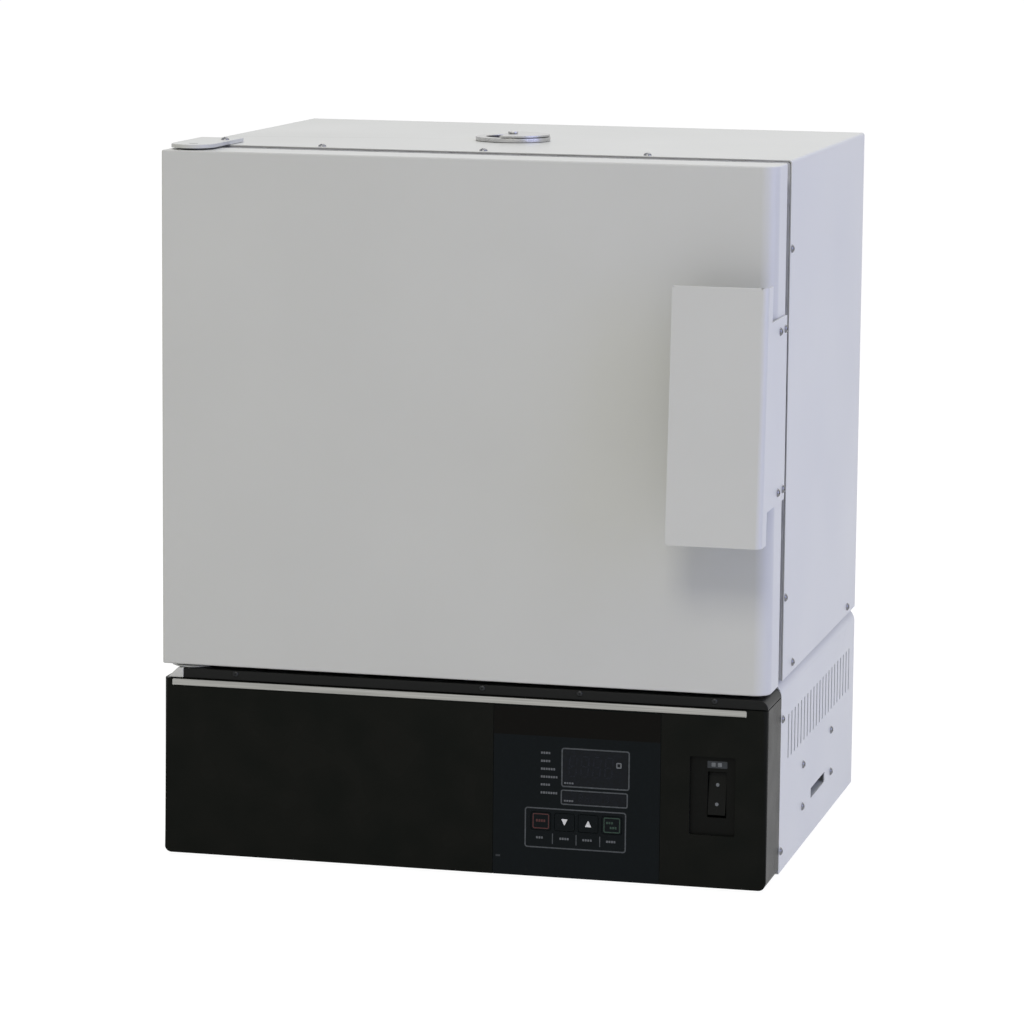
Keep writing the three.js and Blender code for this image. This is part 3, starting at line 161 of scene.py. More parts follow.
floor_mesh = bpy.data.meshes.new("studio_floor")
half_floor = FLOOR_SIDE / 2
floor_mesh.from_pydata([(x * half_floor, y * half_floor, cad_box[0][2])
                        for x, y in ((-1, -1), (1, -1), (1, 1), (-1, 1))], [], [(0, 1, 2, 3)])
floor_mesh.materials.append(floor_finish)
studio_floor = add_object("studio_floor", floor_mesh)

# Lamps: a wide soft box over the oven, a bluish one on its right, and the main one high in front.
# Each is given by its place, side, power and tint, and faces the middle of the cabinet.
LAMPS = {
    "roof_soft_box": ((0.5, 1.1, 3.0), 2.4, 26.0, "#ffffff"),
    "right_soft_box": ((3.2, -0.8, 1.3), 2.6, 46.0, "#aeb7ff"),
    "front_soft_box": ((0.2, -3.5, 3.6), 1.5, 65.0, "#fff9ec"),
}
OVEN_MIDDLE = Vector((0, 0, 0.32))
for name, (place, side, power, tint) in LAMPS.items():
    lamp = bpy.data.lights.new(name, "AREA")
    lamp.shape = "SQUARE"
    lamp.size = side
    lamp.energy = power
    lamp.color = linear(tint)[:3]
    aim = (OVEN_MIDDLE - Vector(place)).to_track_quat("-Z", "Y").to_matrix().to_4x4()
    add_object(name, lamp).matrix_world = Matrix.Translation(place) @ aim


# Cabinet wrapper: one steel sheet, bent up over both sides and the roof and powder coated light
# grey. The coat gives a soft gloss over a very fine orange peel.
PAINTED_SHEET = 1.2 * MM
FOLD_STEP = math.radians(7.5)
PAINT_CLOUD = 140 * MM
PAINT_PEEL = 4 * MM
SHARP_FROM = math.radians(32)
ROUNDED_FROM = math.radians(40)
BLANK_MERGE = 0.001 * MM
SOLID_MERGE = 0.005 * MM
quarter = math.pi / 2


def start_finish(name, colour, roughness, metallic=0.0, **sockets):
    """A material with one Principled shader, its tree, the shader and the object coordinates."""
    finish = bpy.data.materials.new(name)
    finish.diffuse_color = linear(colour)
    tree = emptied(finish)
    values = {"Base Color": linear(colour), "Roughness": roughness, "Metallic": metallic}
    values.update({key.replace("_", " "): value for key, value in sockets.items()})
    shader = add_node(tree, "ShaderNodeBsdfPrincipled", values)
    add_node(tree, "ShaderNodeOutputMaterial", {"Surface": shader})
    return finish, tree, shader, add_node(tree, "ShaderNodeTexCoord").outputs["Object"]


def follow(started, pattern, tones, gloss, bump=None, spread=(0.35, 0.65)):
    """Lets a started finish go from its dark to its light tone, and from one roughness to another,
    as a pattern rises over a spread. bump is a pattern, a strength and a height."""
    finish, tree, shader, _ = started
    ramp = add_node(tree, "ShaderNodeValToRGB", {"Fac": pattern})
    for stop, place, colour in zip(ramp.color_ramp.elements, spread, tones):
        stop.position = place
        stop.color = linear(colour)
    rough = add_node(tree, "ShaderNodeMapRange",
                     {"Value": pattern, "From Min": 0.3, "From Max": 0.7, "To Min": gloss[0],
                      "To Max": gloss[1]})
    tree.links.new(ramp.outputs[0], shader.inputs["Base Color"])
    tree.links.new(rough.outputs[0], shader.inputs["Roughness"])
    if bump:
        raised = add_node(tree, "ShaderNodeBump",
                          dict(zip(("Height", "Strength", "Distance"), bump)))
        tree.links.new(raised.outputs[0], shader.inputs["Normal"])
    return finish


def noisy_finish(name, tones, roughness, size, swing=(0.05, 0.05), detail=2.0, stretch=(1, 1, 1),
                 bump=None, bump_size=None, metallic=0.0, level=0.5):
    """A finish that follows noise of a real size, drawn out by a stretch along each axis. swing is
    how far the roughness goes down and up. bump is a strength and a height, and its noise can have
    a size of its own."""
    started = start_finish(name, tones[1], roughness, metallic, Specular_IOR_Level=level)
    _, tree, _, place = started
    laid = add_node(tree, "ShaderNodeMapping",
                    {"Vector": place, "Scale": [1 / (size * share) for share in stretch]})
    noise = add_node(tree, "ShaderNodeTexNoise", {"Vector": laid, "Scale": 1.0, "Detail": detail})
    relief = noise
    if bump_size:
        relief = add_node(tree, "ShaderNodeTexNoise",
                          {"Vector": place, "Scale": 1 / bump_size, "Detail": 1.0})
    return follow(started, noise, tones, (roughness - swing[0], roughness + swing[1]),
                  (relief, *bump) if bump else None)


def powder_coat(name, tones, roughness, level=0.5):
    """Baked polyester powder: cloudy by a shade, with an orange peel drawn coarse so it shows."""
    return noisy_finish(name, tones, roughness, PAINT_CLOUD, (0.04, 0.04),
                        bump=(0.25, 0.04 * MM), bump_size=PAINT_PEEL, level=level)


grey_paint = powder_coat("light_grey_powder_coat", ("#c7c9c6", "#c9cbc8"), 0.36)


def corner_ring(corners, steps=6):
    """A closed outline through corners (x, y, radius), each rounded to its radius."""
    ring = []
    for number, (x, y, radius) in enumerate(corners):
        here = Vector((x, y))
        if radius == 0:
            ring.append((x, y))
            continue
        before = (Vector(corners[number - 1][:2]) - here).normalized()
        after = (Vector(corners[(number + 1) % len(corners)][:2]) - here).normalized()
        half = math.acos(max(-1, min(1, before.dot(after)))) / 2
        middle = here + (before + after).normalized() * radius / math.sin(half)
        first = here + before * radius / math.tan(half) - middle
        last = here + after * radius / math.tan(half) - middle
        turn = math.atan2(first.x * last.y - first.y * last.x, first.dot(last))
        for step in range(steps + 1):
            ring.append(tuple(middle + Matrix.Rotation(turn * step / steps, 2) @ first))
    return ring


def rectangle_ring(low, high, radius=0.0, steps=6):
    """A rectangle's outline between two corners, with the same radius at all four."""
    return corner_ring([(low[0], low[1], radius), (high[0], low[1], radius),
                        (high[0], high[1], radius), (low[0], high[1], radius)], steps)


def round_ring(x, y, radius, steps=48):
    """The points of a circle."""
    turns = [2 * math.pi * i / steps for i in range(steps)]
    return [(x + radius * math.cos(turn), y + radius * math.sin(turn)) for turn in turns]


def evaluated(data, *modifiers):
    """A mesh made from a curve or mesh with these modifiers, each a type and its settings."""
    holder = add_object("holder", data)
    for kind, settings in modifiers:
        modifier = holder.modifiers.new(kind, kind)
        for name, value in settings.items():
            if hasattr(modifier, name):
                setattr(modifier, name, value)
            else:
                modifier[name] = value
    bpy.context.view_layer.update()
    seen = holder.evaluated_get(bpy.context.evaluated_depsgraph_get())
    made = bpy.data.meshes.new_from_object(seen)
    bpy.data.objects.remove(holder)
    return made


def opened(mesh, merge=0):
    """A mesh opened for editing, with points closer than a distance merged."""
    shape = bmesh.new()
    shape.from_mesh(mesh)
    if merge:
        bmesh.ops.remove_doubles(shape, verts=shape.verts, dist=merge)
    return shape


def written(shape, mesh):
    """The mesh, with an edited shape written to it."""
    shape.to_mesh(mesh)
    shape.free()
    return mesh


def flat_shape(rings, thickness=0.0):
    """A filled outline with holes in X and Y, as thick as asked and centred on Z = 0."""
    curve = bpy.data.curves.new("outline", "CURVE")
    curve.dimensions = "2D"
    curve.fill_mode = "BOTH"
    curve.extrude = thickness / 2
    for ring in rings:
        spline = curve.splines.new("POLY")
        spline.points.add(len(ring) - 1)
        spline.use_cyclic_u = True
        for point, (x, y) in zip(spline.points, ring):
            point.co = (x, y, 0, 1)
    mesh = evaluated(curve)
    return written(opened(mesh, BLANK_MERGE), mesh)


def section_point(distance, runs):
    """Where a point that far along a blank ends up in the folded section.
    runs holds (straight length, outer bend radius, signed angle) and starts with a heading."""
    (a, b, heading), *parts = runs
    for number, (straight, radius, angle) in enumerate(parts):
        if distance <= straight or number == len(parts) - 1:
            return a + distance * math.cos(heading), b + distance * math.sin(heading)
        distance -= straight
        a += straight * math.cos(heading)
        b += straight * math.sin(heading)
        side = math.copysign(1, angle)
        centre_a = a - side * radius * math.sin(heading)
        centre_b = b + side * radius * math.cos(heading)
        heading += min(distance / radius, abs(angle)) * side
        a = centre_a + side * radius * math.sin(heading)
        b = centre_b - side * radius * math.cos(heading)
        distance -= radius * abs(angle)
        if distance <= 0:
            return a, b
    return a, b


def folded_sheet(mesh, runs, place, thickness):
    """A flat blank, bent along its X and then thickened towards the inside.
    place turns (a, b) of the section and the distance along the fold into the frame."""
    sheet = opened(mesh, BLANK_MERGE)
    sheet.normal_update()
    bmesh.ops.reverse_faces(sheet, faces=[face for face in sheet.faces if face.normal.z < 0])
    reached = 0
    for straight, radius, angle in runs[1:]:
        reached += straight
        steps = math.ceil(abs(angle) / FOLD_STEP)
        for step in range(steps + 1 if steps else 0):
            cut_at = reached + radius * abs(angle) * step / steps
            bmesh.ops.bisect_plane(sheet, geom=[*sheet.verts, *sheet.edges, *sheet.faces],
                                   dist=BLANK_MERGE / 10, plane_co=(cut_at, 0, 0),
                                   plane_no=(1, 0, 0))
        reached += radius * abs(angle)
    for vert in sheet.verts:
        vert.co = place(*section_point(vert.co.x, runs), vert.co.y)
    bmesh.ops.dissolve_limit(sheet, angle_limit=math.radians(0.5), verts=sheet.verts,
                             edges=sheet.edges)
    solid = {"thickness": thickness, "offset": -1, "use_even_offset": True}
    return evaluated(written(sheet, mesh), ("SOLIDIFY", solid))


def behind(front):
    """Places a fold's section in X and Z, and what lies along the fold behind a front plane."""
    return lambda a, b, along: (a, front + along, b)


def hood(low, high, bend):
    """The section of a sheet that rises, crosses over and comes down round a box, and how wide its
    blank is."""
    rise = high.z - low.z - bend
    span = high.x - low.x - 2 * bend
    runs = [(low.x, low.z, quarter), (rise, bend, -quarter), (span, bend, -quarter), (rise, 0, 0)]
    return runs, 2 * rise + span + 2 * quarter * bend


def soften(mesh, width, segments=2):
    """Rounds every sharp edge."""
    shape = opened(mesh)
    sharp = [edge for edge in shape.edges
             if edge.is_manifold and edge.calc_face_angle(0) > ROUNDED_FROM]
    bmesh.ops.bevel(shape, geom=sharp, offset=width, offset_type="OFFSET", segments=segments,
                    profile=0.5, affect="EDGES", clamp_overlap=True)
    return written(shape, mesh)


def rolled(mesh, width, segments, chosen):
    """Rounds the edges whose two ends both meet a test on their place."""
    shape = opened(mesh)
    edges = [edge for edge in shape.edges if all(chosen(vert.co) for vert in edge.verts)]
    bmesh.ops.bevel(shape, geom=edges, offset=width, segments=segments, profile=0.5,
                    affect="EDGES")
    return written(shape, mesh)


def finish_piece(name, mesh, finish, slot, body, *nodes):
    """A mesh as a finished piece, smooth except at its sharp edges, that rides on a body."""
    mesh.shade_smooth()
    mesh.set_sharp_from_angle(angle=SHARP_FROM)
    mesh = evaluated(mesh, ("WEIGHTED_NORMAL", {"keep_sharp": True, "weight": 50}))
    piece = add_object(name, mesh)
    mesh.materials.clear()
    mesh.materials.append(finish)
    if nodes:
        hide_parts(*nodes)
    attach(piece, body)


WRAPPER_BEND = 2.5 * MM
WRAPPER_EDGE = 0.25 * MM
DUCT_CLEARANCE = 0.3 * MM
wrapper_low, wrapper_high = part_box("cabinet_wrapper")
wrapper_middle = (wrapper_low + wrapper_high) / 2
ring_low, ring_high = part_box("exhaust_ring")
duct_low, duct_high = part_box("exhaust_duct")
exhaust_centre = (ring_low + ring_high) / 2
wrapper_runs, wrapper_width = hood(wrapper_low, wrapper_high, WRAPPER_BEND)
wrapper_blank = flat_shape([
    rectangle_ring((0, 0), (wrapper_width, wrapper_high.y - wrapper_low.y)),
    round_ring(wrapper_width / 2 + exhaust_centre.x - wrapper_middle.x,
               exhaust_centre.y - wrapper_low.y, (duct_high.x - duct_low.x) / 2 + DUCT_CLEARANCE)])
wrapper_mesh = folded_sheet(wrapper_blank, wrapper_runs, behind(wrapper_low.y), PAINTED_SHEET)
finish_piece("WrapperSheet", soften(wrapper_mesh, WRAPPER_EDGE), grey_paint, "paint", "cabinet",
             "cabinet_wrapper")

# Door shell: a pressed steel pan with the cabinet's own coat. Its front edge is tight on the hinge
# side and well rounded on the handle side, and its top and bottom edges are rolled.
DOOR_HINGE_ROLL = 2 * MM
DOOR_HANDLE_ROLL = 14 * MM
DOOR_LIP_ROLL = 1.5 * MM
DOOR_TIGHTEST_ROLL = 0.05 * MM
DOOR_LIP_STEPS = 6
DOOR_ROLL_STEPS = 14
DOOR_RIM = 1.2 * MM
DOOR_RECESS = 2 * MM
door_low, door_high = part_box("door_shell")


def own_mesh(node):
    """A copy of a node's own solid, its triangles merged into faces."""
    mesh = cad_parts[node].data.copy()
    shape = opened(mesh, SOLID_MERGE)
    bmesh.ops.dissolve_limit(shape, angle_limit=math.radians(1), verts=shape.verts,
                             edges=shape.edges)
    return written(shape, mesh)


def finish_node(node, finish, slot, body="cabinet", edge=0.4, steps=2, mesh=None):
    """A node's own solid, or a mesh made in its place, as a finished piece of the same name, with
    its sharp edges rounded by edge millimetres."""
    mesh = own_mesh(node) if mesh is None else mesh
    name = "".join(word.title() for word in node.split("_"))
    finish_piece(name, soften(mesh, edge * MM, steps) if edge else mesh, finish, slot, body, node)


def door_ring(height, inset):
    """The door's outline at a height, drawn in at its front and sides."""
    left, right, front = door_low.x + inset, door_high.x - inset, door_low.y + inset
    corners = [(left, door_high.y, 0),
               (left, front, max(DOOR_HINGE_ROLL - inset, DOOR_TIGHTEST_ROLL)),
               (right, front, DOOR_HANDLE_ROLL - inset), (right, door_high.y, 0)]
    return [(x, y, height) for x, y in corner_ring(corners, DOOR_ROLL_STEPS)]


lip = []
for step in range(DOOR_LIP_STEPS + 1):
    angle = quarter * step / DOOR_LIP_STEPS
    lip.append((DOOR_LIP_ROLL * (1 - math.cos(angle)), DOOR_LIP_ROLL * (1 - math.sin(angle))))
door = bmesh.new()
levels = [[door.verts.new(point) for point in door_ring(height, inset)] for height, inset in
          [(door_low.z + rise, inset) for rise, inset in lip]
          + [(door_high.z - rise, inset) for rise, inset in reversed(lip)]]
for lower, upper in zip(levels, levels[1:]):
    for i in range(len(lower)):
        after = (i + 1) % len(lower)
        door.faces.new((lower[i], lower[after], upper[after], upper[i]))
door.faces.new(reversed(levels[0]))
door.faces.new(levels[-1])
bmesh.ops.recalc_face_normals(door, faces=door.faces)
rear = [face for face in door.faces if face.normal.y > 0.99]
rear = bmesh.ops.dissolve_faces(door, faces=rear)["region"]
bmesh.ops.inset_region(door, faces=rear, thickness=DOOR_RIM, use_even_offset=True)
sunk = bmesh.ops.extrude_face_region(door, geom=rear)["geom"]
bmesh.ops.translate(door, verts=[part for part in sunk if isinstance(part, bmesh.types.BMVert)],
                    vec=(0, -DOOR_RECESS, 0))
bmesh.ops.delete(door, geom=rear, context="FACES")
door_mesh = written(door, bpy.data.meshes.new("door"))
finish_node("door_shell", grey_paint, "paint", "door", edge=0, mesh=door_mesh)

# Exhaust vent: a turned stainless collar on the roof, with a sheet half disc that turns on its
# pin. Both are brushed; strokes of about 0.3 mm are drawn 0.8 mm wide so that they show.
BRUSH_LINE = 0.8 * MM
BRUSH_STROKE = 70 * MM


def brushed_metal(name, tones, roughness, grain=0, line=BRUSH_LINE):
    """Metal brushed along one axis: fine streaks in its colour, its gloss and its surface."""
    stretch = [1, 1, 1]
    stretch[grain] = BRUSH_STROKE / line
    return noisy_finish(name, tones, roughness, line, (0.05, 0.07), 3.0, stretch,
                        (0.2, 0.02 * MM), metallic=1.0)


bright_steel = brushed_metal("brushed_stainless_sheet", ("#a4a4a3", "#c0c0bf"), 0.32)
finish_node("exhaust_ring", bright_steel, "stainless")
finish_node("exhaust_damper", bright_steel, "stainless", "exhaust_damper", edge=0.3)

# Upper hinge: a thick painted plate screwed to the roof, whose round nose holds the door's pin.
# Lower hinge: a painted end block on the base with a painted leaf on it, and a pin in the leaf.
finish_node("upper_hinge_plate", grey_paint, "paint", edge=0.8, steps=3)
finish_node("lower_hinge_block", grey_paint, "paint", edge=0.7, steps=3)
finish_node("lower_hinge_leaf", grey_paint, "paint")

# Door handle: one sheet, its front plate leaning back towards the top, its right edge folded back
# into a return and a flange that is screwed to the door's side. It has the door's own coat.
HANDLE_SHEET = 1.6 * MM
HANDLE_BEND = 6 * MM
HANDLE_RETURN = 22.5 * MM
HANDLE_LOW_CORNER = 3 * MM
HANDLE_HIGH_CORNER = 1.5 * MM
HANDLE_FLANGE_CORNER = 3 * MM
HANDLE_TOP_ROLL = 1.5 * MM
HANDLE_ROLL_DEPTH = 0.3 * MM
HANDLE_FLANGE_ENDS = (27.2 * MM, 30.1 * MM)
HANDLE_LEAN = 15 / 213
NEAR = 0.1 * MM

handle_low, handle_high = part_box("door_handle")
plate_run = handle_high.x - handle_low.x - HANDLE_BEND
bend_run = quarter * HANDLE_BEND
handle_rise = handle_high.z - handle_low.z
flange_low = HANDLE_FLANGE_ENDS[0]
flange_high = handle_rise - HANDLE_FLANGE_ENDS[1]
short_return = plate_run + bend_run + HANDLE_RETURN - HANDLE_BEND


def flange_edge(height):
    """How far along the blank the flange reaches at a height over the handle's lower end."""
    depth = handle_high.y - handle_low.y - HANDLE_LEAN * height
    return plate_run + bend_run + depth - HANDLE_BEND


handle_blank = flat_shape([corner_ring([
    (0, 0, HANDLE_LOW_CORNER), (short_return, 0, HANDLE_SHEET / 2), (short_return, flange_low, 0),
    (flange_edge(flange_low), flange_low, HANDLE_FLANGE_CORNER),
    (flange_edge(flange_high), flange_high, HANDLE_FLANGE_CORNER), (short_return, flange_high, 0),
    (short_return, handle_rise, HANDLE_SHEET / 2), (0, handle_rise, HANDLE_HIGH_CORNER)])])
handle_mesh = folded_sheet(
    handle_blank, [(handle_low.x, 0, 0), (plate_run, HANDLE_BEND, quarter), (flange_edge(0), 0, 0)],
    lambda a, b, along: (a, handle_low.y + HANDLE_LEAN * along + b, handle_low.z + along),
    HANDLE_SHEET)
roll_line = handle_low.y + HANDLE_LEAN * handle_rise + HANDLE_ROLL_DEPTH
rolled(handle_mesh, HANDLE_TOP_ROLL, 5,
       lambda place: place.z > handle_high.z - NEAR and place.y < roll_line)
finish_node("door_handle", grey_paint, "paint", "door", edge=0.3, mesh=handle_mesh)

# Front rail: a folded steel sill between the base and the door, screwed on from the front. Its
# dark grey powder coat is satin.
rail_paint = powder_coat("charcoal_satin_powder_coat", ("#161716", "#191a19"), 0.42, 0.12)
finish_node("front_rail", rail_paint, "charcoal", edge=0.8, steps=3)

# Trim strip: a satin anodised aluminium extrusion on the bezel's top front edge. Its lower front
# edge is rolled further back than its upper one.
TRIM_LOWER_ROLL = 1.3 * MM
trim_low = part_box("trim_strip")[0]
satin_aluminium = brushed_metal("satin_anodised_aluminium", ("#90908c", "#a6a6a2"), 0.32)
trim_mesh = rolled(own_mesh("trim_strip"), TRIM_LOWER_ROLL, 5,
                   lambda place: place.z < trim_low.z + NEAR and place.y < trim_low.y + NEAR)
finish_node("trim_strip", satin_aluminium, "aluminium", edge=0.5, steps=3, mesh=trim_mesh)

# Front bezel: a moulded black cover with a gloss, its upright front edges well rounded. A broad,
# faint waviness is what a moulding shows in its reflections.
BEZEL_UPRIGHT_EDGE = 4.5 * MM
MOULDING_WAVE = 40 * MM
gloss_black = noisy_finish("gloss_black_moulding", ("#171916", "#1b1c19"), 0.24, MOULDING_WAVE,
                           (0.02, 0.05), 1.0, bump=(0.15, 0.1 * MM), level=0.02)
bezel_low, bezel_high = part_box("front_bezel")
bezel_mesh = own_mesh("front_bezel")
for upright in (bezel_low.x, bezel_high.x):
    rolled(bezel_mesh, BEZEL_UPRIGHT_EDGE, 8,
           lambda place: place.y < bezel_low.y + NEAR and abs(place.x - upright) < NEAR)
finish_node("front_bezel", gloss_black, "black", edge=1, steps=3, mesh=bezel_mesh)

# Control panel: a screen-printed film over a flush plate, bluish black and slightly matt. A darker
# strip crosses its top, and thin grey frames are printed round the displays and the keys.
FRONT_MIDDLE = Vector((-0.25 * MM, -196 * MM, 0))
INK_DEPTH = 0.06 * MM
INK_PATCH = 3 * MM
PANEL_PLANE = 0.2 * MM
WINDOW_PLANE = PANEL_PLANE - INK_DEPTH


def front_ink(name, rings, finish, plane=PANEL_PLANE, body="cabinet", slot="membrane",
              depth=INK_DEPTH):
    """A layer of print, its outlines in millimetres from the oven's middle and its foot, on a
    plane measured from the door's front."""
    mesh = flat_shape([[(x * MM, z * MM) for x, z in ring] for ring in rings], depth)
    place = FRONT_MIDDLE + Vector((0, plane - depth / 2, 0))
    mesh.transform(Matrix.Translation(place) @ Matrix.Rotation(quarter, 4, "X"))
    finish_piece(name, mesh, finish, slot, body)


def frame_rings(low, high, line, corner):
    """A printed frame: its outer outline and the smaller one inside its line."""
    return [rectangle_ring(low, high, corner),
            rectangle_ring((low[0] + line, low[1] + line), (high[0] - line, high[1] - line),
                           max(corner - line, 0.2))]


def ink(name, dark, light, roughness=0.5, level=0.3):
    """Screen-printing ink, a little uneven in cover from patch to patch."""
    return noisy_finish(name, (dark, light), roughness, INK_PATCH, (0.06, 0.06), level=level)


film = ink("bluish_black_film", "#0b1012", "#0d1214", 0.36, 0.07)
dark_strip_film = ink("dark_top_strip_film", "#0a0906", "#0b0a07", 0.2, 0.06)
display_film = ink("smoked_display_window", "#0c1014", "#10141a", 0.14, 0.11)
grey_ink = ink("grey_ink", "#3f4346", "#4b4f52")
faint_ink = ink("faint_grey_ink", "#25292c", "#2d3134")
pale_ink = ink("pale_grey_ink", "#63676a", "#717578")
white_ink = ink("white_ink", "#d4d6d6", "#e0e2e2")
bar_ink = ink("mid_grey_ink", "#565a5d", "#66696c")
red_ink = ink("dark_red_ink", "#3f1f1e", "#4b2625")
green_ink = ink("dark_green_ink", "#20342a", "#2b4236")

# Two opposite corners of each printed place.
DARK_TOP_STRIP = ((29, 126), (173.5, 150.5))
UPPER_WINDOW = ((89.6, 84.6), (145.7, 115.4))
UPPER_FRAME = ((88, 83), (147.3, 117))
LOWER_WINDOW = ((89.3, 69.2), (144.4, 79.2))
LOWER_FRAME = ((87.7, 67.6), (146, 80.8))
KEY_FRAME = ((56.5, 29), (144.8, 64))
SMALL_MARK = ((31.2, 19.3), (35.2, 20.9))
KEY_MIDDLES = (70.6, 91.2, 111.8, 132.4)
DIVIDER_LEVELS = (33.0, 42.0)
DIVIDER_HALF = 0.4

finish_node("control_panel", film, "membrane", edge=0.2, steps=1)
# A darker, glossier strip drawn across the panel's top.
front_ink("PanelDarkTopStrip", [rectangle_ring(*DARK_TOP_STRIP, 0.5)], dark_strip_film)
front_ink("DisplayWindows",
          [rectangle_ring(*UPPER_WINDOW, 1.2), rectangle_ring(*LOWER_WINDOW, 1.0)], display_film)
front_ink("DisplayFrames",
          frame_rings(*UPPER_FRAME, 1.2, 2.4) + frame_rings(*LOWER_FRAME, 1.1, 2.0), grey_ink)
front_ink("KeyFrame", frame_rings(*KEY_FRAME, 1.1, 2.6), grey_ink)
between = [(left + right) / 2 for left, right in zip(KEY_MIDDLES, KEY_MIDDLES[1:])]
front_ink("KeyDividers", [rectangle_ring((x - DIVIDER_HALF, DIVIDER_LEVELS[0]),
                                         (x + DIVIDER_HALF, DIVIDER_LEVELS[1]), 0.1)
                          for x in between], grey_ink)

# Rows of short plain bars stand beside the displays, inside them and under the keys. Each row is
# given by its left end, its level and its length.
PANEL_BARS = [
    (70.2, 111.6, 8.2), (70.2, 104.6, 9.6), (70.2, 97.8, 14.4), (70.2, 91.0, 14.6),
    (70.2, 84.2, 10.0), (70.2, 77.2, 15.0), (66.6, 38.0, 7.6), (87.0, 38.0, 8.4),
    (107.0, 38.0, 9.4), (127.6, 38.0, 9.6),
]
WINDOW_BARS = [(90.6, 86.6, 8.8), (90.6, 71.2, 8.4)]
BAR_WIDTH = 1.6
BAR_GAP = 0.55


def bar_rows(rows, height=1.9):
    """Rows of upright bars, each row as long as its length allows."""
    rings = []
    for x, z, length in rows:
        start = x
        while start + BAR_WIDTH <= x + length:
            rings.append(rectangle_ring((start, z - height / 2),
                                        (start + BAR_WIDTH, z + height / 2), 0.2, 2))
            start += BAR_WIDTH + BAR_GAP
    return rings


front_ink("PanelWordBars", bar_rows(PANEL_BARS), bar_ink)
front_ink("WindowWordBars", bar_rows(WINDOW_BARS, 1.5), bar_ink, WINDOW_PLANE)
front_ink("PanelSmallMark", [rectangle_ring(*SMALL_MARK, 0.4)], faint_ink)

# Unlit figures behind the display windows: seven bars each, leaning a little, hardly lighter than
# the window. A small square frame stands beside the upper row.
FIGURE_LEAN = 0.08
# Each row: how many, the first one's left end and foot, the pitch, and one's width, height and bar.
FIGURE_ROWS = ((4, 93.5, 92.0, 10.4, 7.6, 19.0, 1.5), (5, 103.0, 71.0, 5.6, 3.6, 6.6, 0.7))
UNIT_FRAME = ((135.6, 101.8), (140.2, 106.6))


def figure_rings(x, z, width, height, bar):
    """The seven bars of one unlit figure, its lower left corner at (x, z)."""
    half = height / 2
    pieces = [(bar, 0, width - bar, bar), (bar, half - bar / 2, width - bar, half + bar / 2),
              (bar, height - bar, width - bar, height), (0, bar, bar, half - bar / 2),
              (width - bar, bar, width, half - bar / 2), (0, half + bar / 2, bar, height - bar),
              (width - bar, half + bar / 2, width, height - bar)]
    inset = bar / 8
    rings = []
    for x0, z0, x1, z1 in pieces:
        ring = rectangle_ring((x0 + inset, z0 + inset), (x1 - inset, z1 - inset), bar / 4, 2)
        rings.append([(x + px + pz * FIGURE_LEAN, z + pz) for px, pz in ring])
    return rings


figures = []
for count, x, z, pitch, *size in FIGURE_ROWS:
    for number in range(count):
        figures += figure_rings(x + number * pitch, z, *size)
unlit = ink("unlit_display_bars", "#10141b", "#141820", 0.26, 0.13)
front_ink("DisplayFigures", figures, unlit, WINDOW_PLANE)
front_ink("DisplayUnitMark", frame_rings(*UNIT_FRAME, 1.0, 1.0), pale_ink, WINDOW_PLANE)

# Keys: four membrane keys, hardly raised from the film. The first is framed in dark red and the
# last in dark green; the two between carry a white triangle.
KEY_LEVEL = 52.3
KEY_WIDTH = 14.4
KEY_HEIGHT = 13.2
TRIANGLE_SIDE = 2.8
for node in ("key_stop", "key_down", "key_up", "key_run"):
    finish_node(node, film, "membrane", node, edge=0.25)
key_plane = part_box("key_up")[0].y - FRONT_MIDDLE.y
stop, down, up, run = KEY_MIDDLES
for name, node, middle, finish, rows, height in (
        ("KeyStop", "key_stop", stop, red_ink, [(-4.2, 0.4, 8.6)], 2.2),
        ("KeyRun", "key_run", run, green_ink, [(-5.0, 2.0, 6.5), (-1.8, -2.2, 7.0)], 2.0)):
    front_ink(name + "Frame", frame_rings((middle - KEY_WIDTH / 2, KEY_LEVEL - KEY_HEIGHT / 2),
                                          (middle + KEY_WIDTH / 2, KEY_LEVEL + KEY_HEIGHT / 2),
                                          0.9, 1.6), finish, key_plane, node)
    rows = [(middle + x, KEY_LEVEL + z, length) for x, z, length in rows]
    front_ink(name + "Mark", bar_rows(rows, height), finish, key_plane, node)
for name, node, middle, tip in (("KeyDownMark", "key_down", down, -TRIANGLE_SIDE),
                                ("KeyUpMark", "key_up", up, TRIANGLE_SIDE)):
    corners = [(middle - tip, KEY_LEVEL - tip, 0.3), (middle + tip, KEY_LEVEL - tip, 0.3),
               (middle, KEY_LEVEL + tip, 0.3)]
    front_ink(name, [corner_ring(corners)], white_ink, key_plane, node)

# Mains breaker: a moulded black body set back in the bezel's window, with a rocker on a pin. Both
# are spark-eroded mouldings, so they are rougher than the bezel. A small plate with two plain
# blocks sits over the rocker, and the rocker has a dot at each end.
SPARK_GRAIN = 1.2 * MM
PLATE_PLACE = ((213.5, 106.5), (230.5, 112.5))
PLATE_DEPTH = 0.3 * MM
BLOCK_STARTS = (217, 222.4)
BLOCK_WIDTH = 3.4
BLOCK_LEVELS = (107.8, 111.2)
ROCKER_PIVOT = Vector((221.9 * MM, 8.8 * MM, 83.6 * MM))
ROCKER_TILT = math.radians(-10)
ROCKER_FACE = -4 * MM
DOT_RADIUS = 1.5
DOT_RISES = (7.5, -8.9)
DOT_DEPTH = 0.2 * MM


def grained_moulding(name, tones, roughness, level):
    """Moulded plastic with a spark-eroded grain of 0.1 mm, drawn 1.2 mm wide so that it shows."""
    return noisy_finish(name, tones, roughness, SPARK_GRAIN, (0.06, 0.06),
                        bump=(0.3, 0.05 * MM), level=level)


